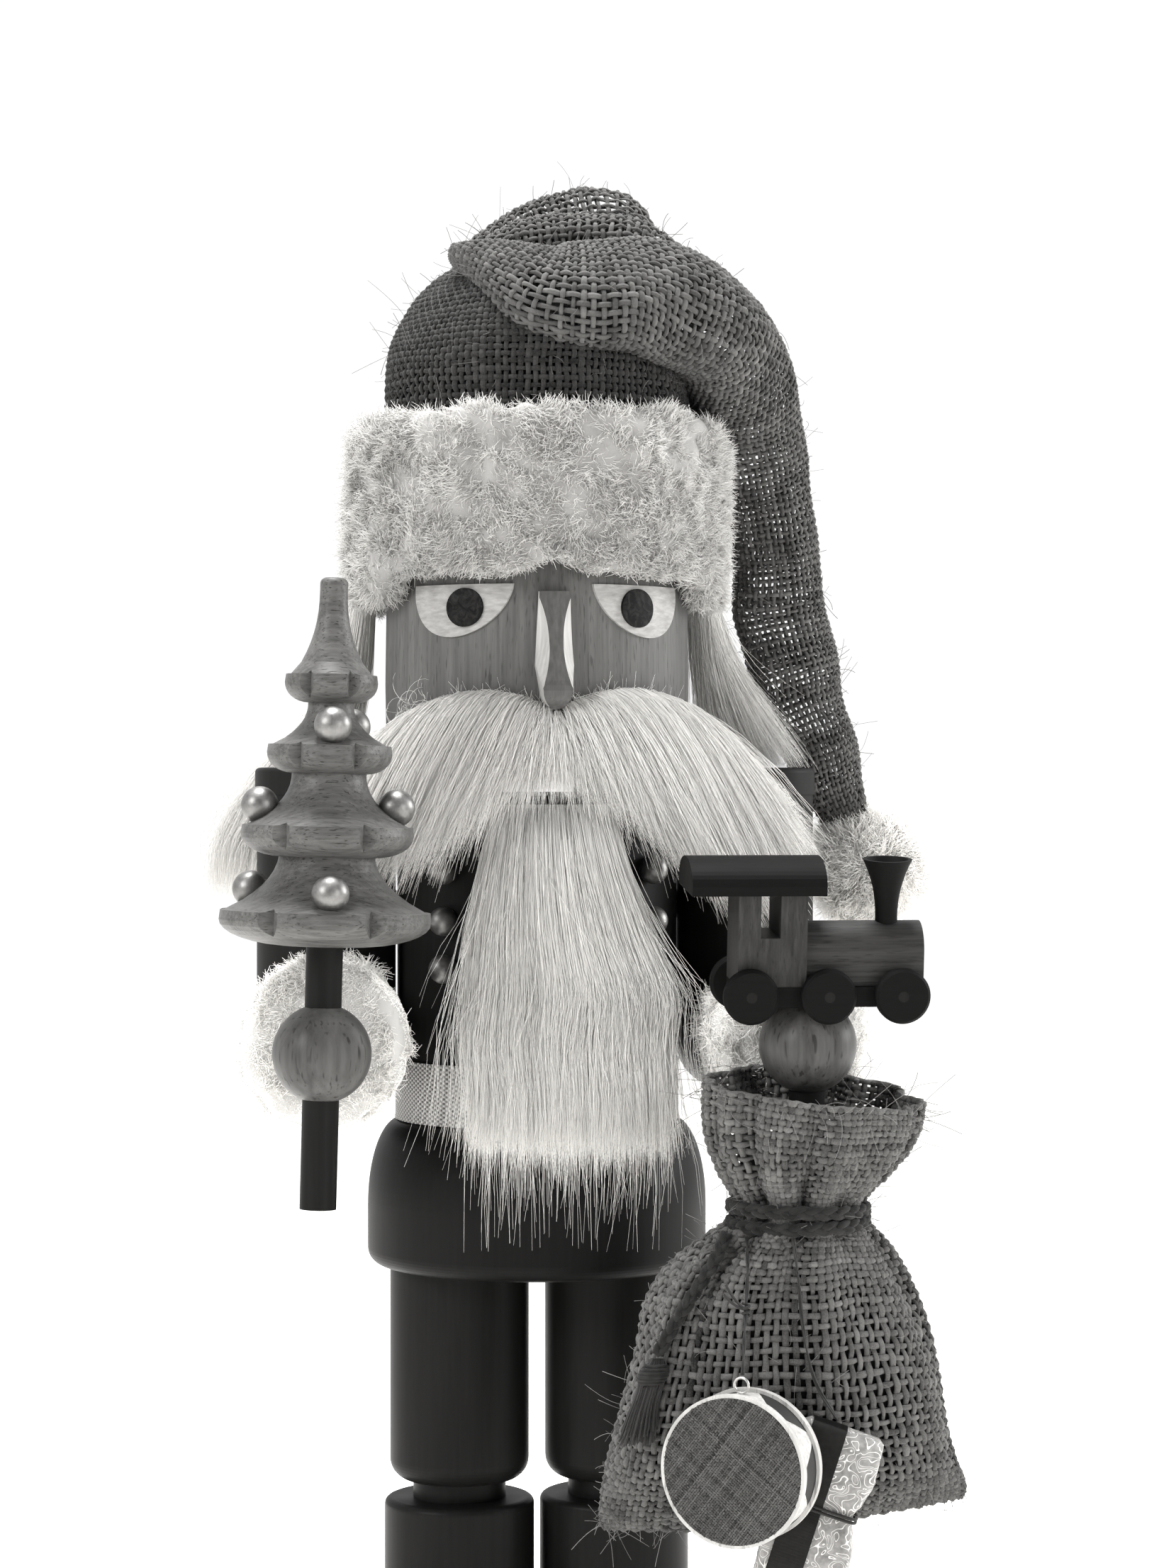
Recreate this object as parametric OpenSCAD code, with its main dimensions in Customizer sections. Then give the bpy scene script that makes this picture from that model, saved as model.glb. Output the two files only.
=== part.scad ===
// Turned wooden Christmas nutcracker with a jaw lever, a cloth hat, fur trim, a toy tree in one hand,
// and a toy train with a tied cloth sack and two hanging ornaments in the other.
// Millimetres, +Z up, and the figure faces -Y. The origin is the middle of the base's underside.
// Left and right are the figure's own: its right hand, with the tree, is at -X.

/* [Base and legs] */
// Width of the base board
base_w = 118; // [108:1:140]
// Depth of the base board
base_d = 100; // [90:1:120]
// Thickness of the base board
base_t = 16; // [14:1:18]
// Height of a boot without its ankle
boot_h = 48; // [44:1:50]
// Radius of a boot
boot_r = 21; // [19:0.5:21.5]
// Radius of a leg
leg_r = 19.5; // [17:0.5:20]
// Height of a leg
leg_h = 60.5; // [56:0.5:64]
// Distance of each leg's axis from the middle
leg_x = 21.9; // [21.7:0.1:22.5]

/* [Body] */
// Height of the lower body
skirt_h = 40.6; // [39:0.1:42]
// Largest radius of the lower body
skirt_r = 47.6; // [45:0.1:49]
// Radius of the torso
torso_r = 39.3; // [38:0.1:40]
// Height of the torso
torso_h = 97.9; // [96:0.1:100]
// Height of the belt ribbon
belt_h = 17; // [12:1:20]
// Thickness of the belt ribbon
belt_t = 0.8; // [0.6:0.1:1.2]
// Diameter of a coat button
button_d = 8; // [6:0.5:9]

/* [Jaw lever] */
// Width of the lever
lever_w = 27.8; // [24:0.1:28]
// Side clearance between the lever and its slot
lever_gap = 0.6; // [0.4:0.1:1]
// Radius of the lever's pin
pin_r = 2.5; // [2:0.1:3]
// Radial clearance of the pin in the lever
pin_clearance = 0.06; // [0.02:0.01:0.1]

/* [Head] */
// Height of the head
head_h = 104; // [102:1:106]
// Largest radius of the head
head_r = 42.4; // [41.5:0.1:43]
// Height of an eye
eye_h = 14.3; // [13:0.1:15]
// Width of the nose
nose_w = 10.4; // [9:0.1:12]

/* [Hat] */
// Radius of the hat's crown
hat_r = 42; // [41.5:0.1:42.5]
// Height of the fur band
band_h = 45; // [40:1:47]
// Outer radius of the fur band
band_r = 54.5; // [52:0.5:55]
// Radius of the pompom
pompom_r = 17.5; // [15:0.5:18]

/* [Arms] */
// Distance of each arm's axis from the middle
arm_x = 59.3; // [59:0.1:61]
// Radius of an arm
arm_r = 19.4; // [18:0.1:19.4]
// Radius of a shoulder cap
cap_r = 19.9; // [19.5:0.1:19.9]
// Thickness of a shoulder cap
cap_t = 7.6; // [6:0.1:9]
// Radius of a hand ball
hand_r = 12.8; // [12:0.1:12.9]
// Outer radius of a fur cuff
cuff_r = 24; // [23:0.5:25]

/* [Tree] */
// Radius of the sticks in both hands
stick_r = 4.75; // [4:0.05:5]
// Height of the tree's underside above the middle of the hand ball
tree_z = 27.7; // [25:0.1:30]
// Sideways lean of the tree and its stick in degrees
tree_lean = 1.5; // [0:0.1:3]
// Diameter of a tree bead
bead_d = 9.6; // [8:0.1:10]

/* [Train] */
// Forward lean of the train and its stick in degrees
train_lean = 7; // [0:1:9]
// Radius of a train wheel
wheel_r = 7.2; // [6.5:0.1:7.2]
// Depth of the cab
cab_d = 18; // [15:0.5:20]

/* [Sack and ornaments] */
// Half width of the sack at its fullest
sack_a = 46; // [40:1:48]
// Half depth of the sack at its fullest
sack_b = 22; // [18:1:23]
// Radius of the tied neck
neck_r = 16.2; // [14:0.1:17]
// Radius of the drum's shell
drum_r = 18.4; // [16:0.1:19]
// Depth of the drum
drum_t = 13; // [10:0.5:14]

/* [Hidden] */

// A length that reaches past everything, for cutters
far = 300;
// A gap that keeps glued-on soft pieces off the surface they cover
skin = 0.3;
// Facets of round pieces
round_fn = 96;

// Heights of the joints between the stacked pieces
ankle_z = base_t + boot_h;
ankle_h = 5;
ankle_r = 13;
leg_z = ankle_z + ankle_h;
skirt_z = leg_z + leg_h;
torso_z = skirt_z + skirt_h;
head_z = torso_z + torso_h;
hat_z = head_z + head_h;
dowel_r = 4;

// The lever turns about this point of its side view and clears the head's underside
pivot_y = 0;
pivot_z = head_z - 23;
jaw_r = 41.2;
jaw_top = 16;
slot_z = head_z - 57;

// The fur band ends level with the top of the face
band_z = head_z + 52;
eye_z = band_z - 1.8;
eye_turn = 36;
button_turn = 44;

// The forearms turn a little outwards, each by its own angle, to the middles of the hand balls
elbow_z = head_z - 72.8;
right_out = 3.6;
left_out = 2.4;
hand_y = -80;
right_ball = [hand_y * tan(right_out) - arm_x, hand_y, elbow_z - 0.6];
left_ball = [arm_x - hand_y * tan(left_out), hand_y, elbow_z + 0.6];
wrist_y = -61;
cuff_y = -41;

// The train's parts are placed from the middle of the hand ball
chassis_z = hand_r - 1.2;
chassis_t = 5.2;
cab_x = -20.4;
cab_top = 41.1;
boiler_x = -2.4;
boiler_end = 28.8;
boiler_r = 7.4;
boiler_top = 32.8;
axle_z = chassis_z + 3.2;
axle_r = 1.4;
wheel_t = 3.4;
wheel_y = 9.6;
wheel_xs = [-17.3, 3.1, 22.5];

// The sack hangs from the tied neck on the left hand's stick
neck_x = 61;
neck_y = -75;
neck_z = 151;
sack_x = 57;
sack_z = 70;
tie_r = 1.95;

// The drum's front face looks a little to the figure's right
drum_place = [36.4, -117.5, 91.7];
drum_turn = -31;
drum_skin = 0.8;
eye_ring_r = 1.9;
wire_r = 0.35;

// The parcel hangs with its top leaning to the figure's left
gift_place = [61, -105.6, 80];
gift_lean = 18;
gift_turn = -12;

// Routes of the cords, from the tie downwards
braid_route = [[40.4, -84.5, 147], [36.5, -89.5, 141], [31, -91, 133], [26, -90.5, 125], [21.5, -90, 117]];
braid_r = 1.9;
drum_route = [[45, -88.4, 147], [44, -96, 139], [42.6, -101.5, 130], [41.2, -107, 122], [40, -112, 115]];
gift_route = [[56, -95.6, 147], [56.6, -99.5, 137], [57.5, -102, 124], [60, -104, 112], [65.5, -105.5, 102]];
thread_r = 0.5;

function unit(v) = v / norm(v);

// Points of an arc of an ellipse about c, from angle t0 to t1
function arc(c, a, b, t0, t1, n) =
    [for (k = [0:n]) let (t = t0 + (t1 - t0) * k / n) [c[0] + a * cos(t), c[1] + b * sin(t)]];

// Level ring round c with half sizes a and b, where slope lifts its +X side
function ring(c, a, b, slope = 0, n = 20) =
    [for (k = [0:n - 1]) let (t = 360 * k / n)
        [c[0] + a * cos(t), c[1] + b * sin(t), c[2] + slope * a * cos(t)]];

// Direction of a route at its point i
function heading(p, i) = unit(p[min(i + 1, len(p) - 1)] - p[max(i - 1, 0)]);

// Ring of radius r across a route at its point i
function cross_ring(p, i, r, n) =
    let (t = heading(p, i), s = unit(cross(t, [0, 1, 0])), u = cross(t, s))
    [for (k = [0:n - 1]) p[i] + r * (cos(360 * k / n) * s + sin(360 * k / n) * u)];

// Closed solid through a stack of rings that all have the same number of points
module loft(rings) {
    n = len(rings[0]);
    m = len(rings);
    walls = [for (i = [0:m - 2], k = [0:n - 1])
        let (a = i * n + k, b = i * n + (k + 1) % n)
        each [[a, a + n, b + n], [a, b + n, b]]];
    caps = [[for (k = [0:n - 1]) k], [for (k = [n - 1:-1:0]) (m - 1) * n + k]];
    polyhedron([for (r = rings) each r], concat(caps, walls));
}

// Round tube along a route
module tube(route, r, n = 8) {
    loft([for (i = [0:len(route) - 1]) cross_ring(route, i, r, n)]);
}

// Round body turned from a side view
module turned(points) {
    rotate_extrude($fn = round_fn) polygon(points);
}

// Upright dowel between two heights
module dowel(x, y, r, z0, z1) {
    translate([x, y, z0]) cylinder(r = r, h = z1 - z0, $fn = 48);
}

module on_both_sides() {
    children();
    mirror([1, 0, 0]) children();
}

// Base

module base_board() {
    corner = 12;
    edge = 3;
    color("dimgray") difference() {
        union() {
            linear_extrude(base_t - edge) base_outline(corner, 0);
            translate([0, 0, base_t - edge]) linear_extrude(edge) base_outline(corner, edge / 2);
        }
        for (s = [-1, 1]) dowel(s * leg_x, 0, dowel_r, 6, base_t + 1);
    }
}

module base_outline(corner, inset) {
    w = base_w / 2 - corner;
    d = base_d / 2 - corner;
    r = corner - inset;
    square([2 * w, 2 * (d + r)], center = true);
    square([2 * (w + r), 2 * d], center = true);
    for (x = [-w, w], y = [-d, d]) translate([x, y]) circle(r = r, $fn = 64);
}

// Boots and legs

// Boot with an ankle and a domed toe that stands out in front
module boot() {
    toe_r = 16.5;
    toe_h = 17;
    color("#262626") difference() {
        union() {
            translate([leg_x, 0, 0]) turned(concat(
                [[0, base_t], [boot_r, base_t]],
                arc([boot_r - 2, ankle_z - 2], 2, 2, 0, 90, 6),
                [[ankle_r, ankle_z], [ankle_r, leg_z], [0, leg_z]]));
            translate([leg_x, toe_r - boot_r - 13, 0]) turned(concat(
                [[0, base_t], [toe_r, base_t]],
                arc([0, base_t + 3], toe_r, toe_h - 3, 0, 90, 12)));
        }
        dowel(leg_x, 0, dowel_r, base_t - 1, leg_z + 1);
    }
}

module right_boot() {
    mirror([1, 0, 0]) left_boot();
}

module left_boot() {
    boot();
}

module left_leg() {
    color("#2b2b2b") difference() {
        translate([leg_x, 0, 0]) turned(concat(
            [[0, leg_z]],
            arc([leg_r - 6, leg_z + 6], 6, 6, -90, 0, 10),
            [[leg_r, skirt_z], [0, skirt_z]]));
        dowel(leg_x, 0, dowel_r, leg_z - 1, skirt_z + 1);
    }
}

module right_leg() {
    mirror([1, 0, 0]) left_leg();
}

module leg_dowels() {
    color("burlywood") on_both_sides() dowel(leg_x, 0, dowel_r, 6, skirt_z + 16);
}

// Body

module skirt() {
    shoulder_h = 24;
    top_r = 38.6;
    foot = 4.5;
    color("#3a3a3a") difference() {
        turned(concat(
            [[0, skirt_z]],
            arc([skirt_r - foot, skirt_z + foot], foot, foot, -90, 0, 8),
            arc([top_r, torso_z - shoulder_h], skirt_r - top_r, shoulder_h, 0, 90, 20),
            [[0, torso_z]]));
        for (s = [-1, 1]) dowel(s * leg_x, 0, dowel_r, skirt_z - 1, skirt_z + 16);
        dowel(0, 0, 2 * dowel_r, torso_z - 14, torso_z + 1);
    }
}

module body_dowel() {
    color("burlywood") dowel(0, 0, 2 * dowel_r, torso_z - 14, torso_z + 20);
}

module torso() {
    slot_half = lever_w / 2 + lever_gap;
    color("#2e2e2e") difference() {
        turned([[0, torso_z], [torso_r, torso_z], [torso_r, head_z], [0, head_z]]);
        translate([-slot_half, -far / 2, slot_z]) cube([2 * slot_half, far, far]);
        dowel(0, 0, 2 * dowel_r, torso_z - 1, torso_z + 20);
        lever_pin_hole(pin_r, -32, far);
        head_dowel_holes(head_z - 12, head_z + 1);
        for (s = [-1, 1]) shoulder_dowel(s);
    }
}

module lever_pin_hole(r, x0, x1) {
    translate([x0, pivot_y, pivot_z]) rotate([0, 90, 0]) cylinder(r = r, h = x1 - x0, $fn = 48);
}

module head_dowel_holes(z0, z1) {
    for (s = [-1, 1]) dowel(s * 26, 0, dowel_r, z0, z1);
}

module belt() {
    color("#b5b5b5") disc_ring(torso_r + 0.08, torso_r + belt_t, torso_z + 0.2, torso_z + belt_h);
}

// Two columns of beads with flat backs that sit on the coat
module coat_buttons() {
    color("#8c8c8c") for (s = [-1, 1], z = [52.5, 65.5, 79.5, 92.5])
        translate([0, 0, head_z - 107 + z]) rotate([0, 0, s * button_turn]) rotate([90, 0, 0])
            translate([0, 0, torso_r]) coat_button();
}

module coat_button() {
    difference() {
        translate([0, 0, button_d * 0.3]) sphere(d = button_d, $fn = 32);
        translate([-far / 2, -far / 2, 0.06 - far]) cube(far);
    }
}

// Jaw lever: the jaw in front, the arm through the torso, and the handle down the back
module jaw_lever() {
    jaw_low = -13;
    back_slope = 34;
    knee_y = torso_r + 15;
    knee_z = 18 - (knee_y - 4) * tan(back_slope) * 0.7;
    front = [for (k = [0:8]) let (t = 180 - asin(jaw_top / jaw_r)
        + k * (asin(jaw_top / jaw_r) - asin(jaw_low / jaw_r)) / 8) [jaw_r * cos(t), jaw_r * sin(t)]];
    side = concat(
        front,
        [[-18, -17], [0, -19], [24, -23], [torso_r + 2.2, -32], [torso_r + 2.6, -70]],
        handle_inside(),
        handle_outside(),
        [[knee_y - 0.5, knee_z - 12], [knee_y - 3.5, knee_z - 3], [knee_y - 9, knee_z + 1.5],
            [4, jaw_top + 0.8], [-4, jaw_top]]);
    color("#6e6e6e") difference() {
        translate([-lever_w / 2, pivot_y, pivot_z]) rotate([90, 0, 90])
            linear_extrude(lever_w) polygon(side);
        lever_pin_hole(pin_r + pin_clearance, -far / 2, far / 2);
    }
}

// The handle bends outwards over the skirt and ends in a round tip
function handle_inside() = [for (k = [0:6]) let (u = k / 6)
    [torso_r + 2.6 + 9.2 * u, -70 - 34 * u]];
function handle_outside() = concat(
    arc([torso_r + 16.2, -105], 4.4, 5, 200, 360, 8),
    [for (k = [0:5]) let (u = k / 5) [torso_r + 20.6 - 6.2 * u * (2 - u), -100 + 66 * u]]);

module lever_pin() {
    color("silver") lever_pin_hole(pin_r, -32, torso_r - 2);
}

// Head

// Side view of the head, grown outwards by g
function head_side(g) = concat(
    arc([head_r - 7.4 + g, head_z + 7.4], 7.4, 7.4, -90, 0, 10),
    [[head_r + g + 0.3, head_z + 24], [head_r + g, head_z + 46], [head_r + g - 1.6, head_z + 64],
        [head_r + g - 4, head_z + 84]],
    arc([head_r + g - 10, head_z + head_h - 6], 6, 6, 0, 90, 8));

module head_form(g) {
    turned(concat([[0, head_z]], head_side(g), [[0, head_z + head_h]]));
}

module head() {
    color("#8f8f8f") difference() {
        head_form(0);
        head_dowel_holes(head_z - 1, head_z + 12);
    }
}

module head_dowels() {
    color("burlywood") head_dowel_holes(head_z - 12, head_z + 12);
}

// Carved nose: a ridge that long scooped cuts narrow at its middle, over a drop-shaped tip
module nose() {
    top = 48;
    tip = 16;
    scoop_r = 40;
    ridge = 4.3;
    color("#8a8a8a") difference() {
        intersection() {
            translate([-far / 2, 0, head_z]) rotate([90, 0, 90]) linear_extrude(far)
                polygon(concat([[-head_r + 3, top], [-head_r - 2.5, top], [-head_r - 6, top - 13]],
                    arc([-head_r - 3.4, tip + 5], 7.2, 5.4, 150, 270, 8), [[-head_r + 3, tip]]));
            translate([0, -head_r + 6, head_z]) rotate([90, 0, 0]) linear_extrude(far / 10)
                polygon(concat([[-nose_w * 0.4, top], [-nose_w / 2, tip + 12]],
                    arc([0, tip + 5], nose_w * 0.38, 5, 180, 360, 12),
                    [[nose_w / 2, tip + 12], [nose_w * 0.4, top]]));
        }
        head_form(0.03);
        for (s = [-1, 1]) translate([s * ridge / 2, -head_r - 5.9, head_z + 34]) rotate([-15, 0, 0])
            rotate([0, 0, s * 60]) translate([0, -scoop_r, 0]) rotate([0, 90, 0])
                cylinder(r = scoop_r, h = far / 5, center = true, $fn = round_fn);
    }
}

// Thin plate that lies on the face, cut to an outline that looks out at an angle
module face_plate(turn, g0, g1) {
    difference() {
        intersection() {
            head_form(g1);
            rotate([0, 0, turn]) translate([0, 0, eye_z]) rotate([90, 0, 0])
                linear_extrude(far / 5) children();
        }
        head_form(g0);
    }
}

// Half-round eye with its lowest point towards the temple
module eye_outline(s) {
    polygon([for (k = [0:28]) let (t = 180 + 180 * k / 28)
        [15.4 * cos(t) + s * 2.4 * pow(abs(sin(t)), 1.5), eye_h * sin(t)]]);
}

module eye_whites() {
    color("white") for (s = [-1, 1]) face_plate(s * eye_turn, 0.03, 0.7) eye_outline(s);
}

module pupils() {
    color("black") for (s = [-1, 1]) face_plate(s * eye_turn, 0.75, 1.5)
        translate([-2.2 * s, -6.3]) polygon(arc([0, 0], 5.5, 5.3, 0, 352, 32));
}

module moustache() {
    color("whitesmoke") for (s = [-1, 1]) mirror([s < 0 ? 1 : 0, 0, 0])
        loft([for (k = [0:7]) let (u = k / 7)
            lobe_ring([0.2 + 63 * u, -53.4 + 10 * u * u, 275.2 - 3 * u - 28 * u * u],
                8 + 5.5 * sin(180 * u) - 4.5 * u * u, 8.6 + 1.5 * sin(180 * u) - 5 * u * u)]);
}

// Ring that stands across the moustache, with half height h and half depth d
function lobe_ring(c, h, d, n = 16) =
    [for (k = [0:n - 1]) let (t = 360 * k / n) [c[0], c[1] + d * cos(t), c[2] + h * sin(t)]];

module beard() {
    color("whitesmoke") loft([
        beard_ring(3, 140, 14, 2.2), beard_ring(4.5, 153, 23, 3.8), beard_ring(4.8, 166, 26.5, 5),
        beard_ring(2.6, 184, 28, 6), beard_ring(1.7, 196, 29, 6.2), beard_ring(4, 207, 30.2, 6.4),
        beard_ring(0.8, 224, 25.8, 6.2), beard_ring(-1, 242, 20.6, 5.4), beard_ring(-1.4, 258, 16.2, 3.6)]);
}

// Level ring of the beard, whose back stays clear of the skirt and the torso
function beard_ring(x, z, a, b) = ring([x, -46.5 - b - 6 * (z < 176 ? 1 : z < 216 ? (216 - z) / 40 : 0), z],
    a, b);

module back_hair() {
    color("whitesmoke") loft([
        ring([0, 55.5, head_z - 2.5], 22, 3.6), ring([0, 54, 285], 25, 5),
        ring([0, 50.5, 305], 25, 5.5), ring([0, 49.5, band_z - 0.5], 24, 5)]);
}

module right_hair() {
    color("whitesmoke") loft([
        ring([-78, 32, 230], 10, 5), ring([-75, 32, 248], 14, 8), ring([-66, 33, 266], 14, 9),
        ring([-56.5, 29, 280], 9, 10), ring([-51, 20, 296], 6, 11), ring([-48.5, 12, band_z - 0.5], 4, 12)]);
}

module left_hair() {
    color("whitesmoke") loft([
        ring([59, 13, head_z + 1.4], 9, 8), ring([55, 13, 284], 9, 10),
        ring([51, 13, 300], 6, 11), ring([48.5, 12, band_z - 0.5], 4, 12)]);
}

// Hat

module hat() {
    crown_h = 44;
    crown_z = hat_z;
    peak = [[-12, 5, 402], [4, 5, 413], [20, 3, 420], [31, -2, 413]];
    peak_r = [8, 13, 13.8, 11];
    fold = [[-16, -20, 406], [-4, -26, 400], [9, -27, 399], [22, -25, 399], [34, -22, 397.5],
        [46, -18, 392], [56, -9, 383], [63.5, 6, 370], [67.8, 11.5, 357], [69.8, 14.5, 345],
        [71, 18, 330], [73, 20, 314], [77.5, 21, 297], [84, 22.5, 278], [92, 24, 257.8]];
    fold_r = [5, 11, 14, 15, 15.5, 15.5, 15.2, 12.8, 11.2, 11.2, 12.2, 13, 12.8, 11.2, 7.4];
    color("#585858") difference() {
        union() {
            turned(concat([[0, head_z + 77], [hat_r, head_z + 77]],
                arc([0, crown_z], hat_r, crown_h, 0, 90, 16)), $fn = 48);
            loft([for (i = [0:len(fold) - 1]) cross_ring(fold, i, fold_r[i], 18)]);
            loft([for (i = [0:len(peak) - 1]) cross_ring(peak, i, peak_r[i], 18)]);
        }
        dowel(0, 0, hat_r - 1.8, head_z + 70, head_z + head_h + 0.5);
    }
}

module fur_band() {
    r0 = head_r + 0.8;
    mid = (r0 + band_r) / 2;
    color("white") rotate_extrude($fn = round_fn) polygon(concat(
        arc([mid, band_z + 6], (band_r - r0) / 2, 6, 180, 360, 10),
        arc([mid, band_z + band_h - 6], (band_r - r0) / 2, 6, 0, 180, 10)));
}

module pompom() {
    color("white") translate([100.4, 25, 239.7]) sphere(r = pompom_r, $fn = 40);
}

// Shoulders and arms

module shoulder_caps() {
    color("#303030") on_both_sides() translate([arm_x, 0, 0]) turned(concat(
        [[0, head_z + 0.6 - cap_t], [cap_r, head_z + 0.6 - cap_t]],
        arc([cap_r - 1.4, head_z - 0.8], 1.4, 1.4, 0, 90, 6),
        [[0, head_z + 0.6]]));
}

module shoulder_dowel(s) {
    x0 = torso_r - 11;
    translate([s * x0, 6, head_z - 38]) rotate([0, s * 90, 0]) cylinder(r = dowel_r, h = 26, $fn = 48);
}

module shoulder_dowels() {
    color("burlywood") for (s = [-1, 1]) shoulder_dowel(s);
}

// Half space in front of and below the elbow's mitre
module front_of_elbow() {
    translate([0, 0, elbow_z]) rotate([45, 0, 0]) translate([-far / 2, -far, -far / 2]) cube(far);
}

module left_arm() {
    color("#303030") difference() {
        dowel(arm_x, 0, arm_r, elbow_z - 2 * arm_r, head_z + 0.6 - cap_t, $fn = round_fn);
        front_of_elbow();
        shoulder_dowel(1);
    }
}

module right_arm() {
    mirror([1, 0, 0]) left_arm();
}

// Round piece along a left forearm that turns outwards, from y0 at its front to y1
module along_forearm(out, r, y0, y1) {
    translate([arm_x, 0, elbow_z]) rotate([0, 0, out]) translate([0, y0, 0]) rotate([-90, 0, 0])
        cylinder(r = r, h = y1 - y0, $fn = round_fn);
}

module forearm(out) {
    color("#303030") intersection() {
        union() {
            along_forearm(out, arm_r, wrist_y, 2 * arm_r);
            tenon(out, 0);
        }
        front_of_elbow();
    }
}

module left_forearm() {
    forearm(left_out);
}

module right_forearm() {
    mirror([1, 0, 0]) forearm(right_out);
}

// Tenon on the wrist that holds the hand ball
module tenon(out, extra) {
    along_forearm(out, 4, wrist_y - 11, wrist_y + 1 + extra);
}

module cuff(out) {
    r0 = arm_r + skin;
    mid = (r0 + cuff_r) / 2;
    half = (cuff_r - r0) / 2;
    color("white") translate([arm_x, 0, elbow_z]) rotate([0, 0, out]) translate([0, cuff_y, 0])
        rotate([90, 0, 0]) rotate_extrude($fn = 64)
        polygon(concat(arc([mid, 5], half, 5, 180, 360, 8), arc([mid, 17], half, 5, 0, 180, 8)));
}

module left_cuff() {
    cuff(left_out);
}

module right_cuff() {
    mirror([1, 0, 0]) cuff(right_out);
}

module right_hand() {
    color("#a8a8a8") difference() {
        translate(right_ball) sphere(r = hand_r, $fn = 64);
        at_tree() dowel(0, 0, stick_r, -20, 20);
        mirror([1, 0, 0]) tenon(right_out, 20);
    }
}

module left_hand() {
    color("#a8a8a8") difference() {
        translate(left_ball) sphere(r = hand_r, $fn = 64);
        leaning() {
            dowel(0, 0, stick_r, -20, 20);
            translate([-far / 2, -far / 2, chassis_z]) cube(far);
        }
        tenon(left_out, 20);
    }
}

// Tree

// Frame of the tree and its stick, from the middle of the right hand ball
module at_tree() {
    translate(right_ball) rotate([0, tree_lean, 0]) children();
}

module tree_stick() {
    color("#2a2a2a") at_tree() dowel(0, 0, stick_r, -40, tree_z + 24);
}

// One tier: underside, rim and the hollow flank above it, up to the next neck
function tier(z, rim, rim_h, neck, neck_r, neck_z) = concat(
    arc([neck, z + rim_h * 0.72], rim - neck, rim_h * 0.72, -90, 0, 8),
    [[rim - 0.3, z + rim_h], [rim - 1.6, z + rim_h + 0.1]],
    [for (k = [1:8]) let (u = k / 8, w = pow(1 - u, 2.3))
        [neck_r + (rim - 2.6 - neck_r) * w, z + rim_h + 0.5 + (neck_z - z - rim_h - 0.5) * u]]);

// Underside height, rim radius and rim height of each tier, lowest first, with the neck above it
TIERS = [[0, 27.4, 9, 12.2, 25.2], [22.9, 22.3, 8, 9.6, 44.6], [44.4, 16.2, 7.3, 5.9, 62.6],
    [62.6, 12.1, 7.2, 3.6, 91.5]];

module tree_form() {
    turned(concat(
        [[0, tree_z]],
        [for (i = [0:3]) let (t = TIERS[i], below = i == 0 ? stick_r + 4 : TIERS[i - 1][3])
            each tier(tree_z + t[0], t[1], t[2], below, t[3], tree_z + t[4])],
        arc([1.8, tree_z + 93.4], 1.8, 1.5, 0, 90, 5),
        [[0, tree_z + 94.9]]));
}

module tree() {
    color("#8f8f8f") at_tree() difference() {
        tree_form();
        dowel(0, 0, stick_r, tree_z - 1, tree_z + 24);
        for (t = TIERS, k = [0:5]) rotate([0, 0, 60 * k - 35 - 90])
            notch(t[1], tree_z + t[0] + t[2] + 0.2, t[2]);
    }
}

// V-shaped cut in a rim
module notch(rim, top, h) {
    w = 2.2 + rim * 0.07;
    translate([rim - w * 0.75, 0, top - h * 0.86]) linear_extrude(h)
        polygon([[0, 0], [2 * w, -2 * w], [2 * w, 2 * w]]);
}

module tree_beads() {
    beads = [[1, 17.6, 0], [1, 17.6, 180], [0, 22, -90], [0, 22, 150], [2, 12.4, -90], [2, 12.4, 60]];
    color("#9a9a9a") at_tree() difference() {
        for (b = beads) let (t = TIERS[b[0]])
            rotate([0, 0, b[2]]) translate([b[1], 0, tree_z + t[0] + t[2] + bead_d / 2 + 0.2])
                sphere(d = bead_d, $fn = 32);
        tree_form();
    }
}

// Train

// Frame of the train and its stick, from the middle of the left hand ball
module leaning() {
    translate(left_ball) rotate([train_lean, 0, 0]) children();
}

module train_stick() {
    color("#2a2a2a") leaning() dowel(0, 0, stick_r, -70, chassis_z);
}

module axle_holes(r, half) {
    for (x = wheel_xs) translate([x, half, axle_z]) rotate([90, 0, 0]) cylinder(r = r, h = 2 * half, $fn = 32);
}

module train_chassis() {
    color("#202020") leaning() difference() {
        translate([cab_x, 0.3 - wheel_y, chassis_z])
            cube([boiler_end - cab_x, 2 * (wheel_y - 0.3), chassis_t]);
        axle_holes(axle_r, 30);
    }
}

module train_axles() {
    color("burlywood") leaning() axle_holes(axle_r, wheel_y + wheel_t);
}

module train_wheels() {
    color("#1e1e1e") leaning() for (x = wheel_xs, s = [-1, 1]) difference() {
        translate([x, s * wheel_y + (s > 0 ? wheel_t : 0), axle_z]) rotate([90, 0, 0]) turned_wheel();
        axle_holes(axle_r, 30);
    }
}

module turned_wheel() {
    e = 0.7;
    turned([[0, 0], [wheel_r - e, 0], [wheel_r, e], [wheel_r, wheel_t - e], [wheel_r - e, wheel_t], [0, wheel_t]]);
}

module train_cab() {
    floor_z = chassis_z + chassis_t;
    color("#8a8a8a") leaning() difference() {
        translate([cab_x, -cab_d / 2, floor_z]) cube([boiler_x - cab_x, cab_d, cab_top - floor_z]);
        translate([cab_x + 5.8, -far / 2, cab_top - 11.5]) cube([5.2, far, far]);
    }
}

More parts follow.
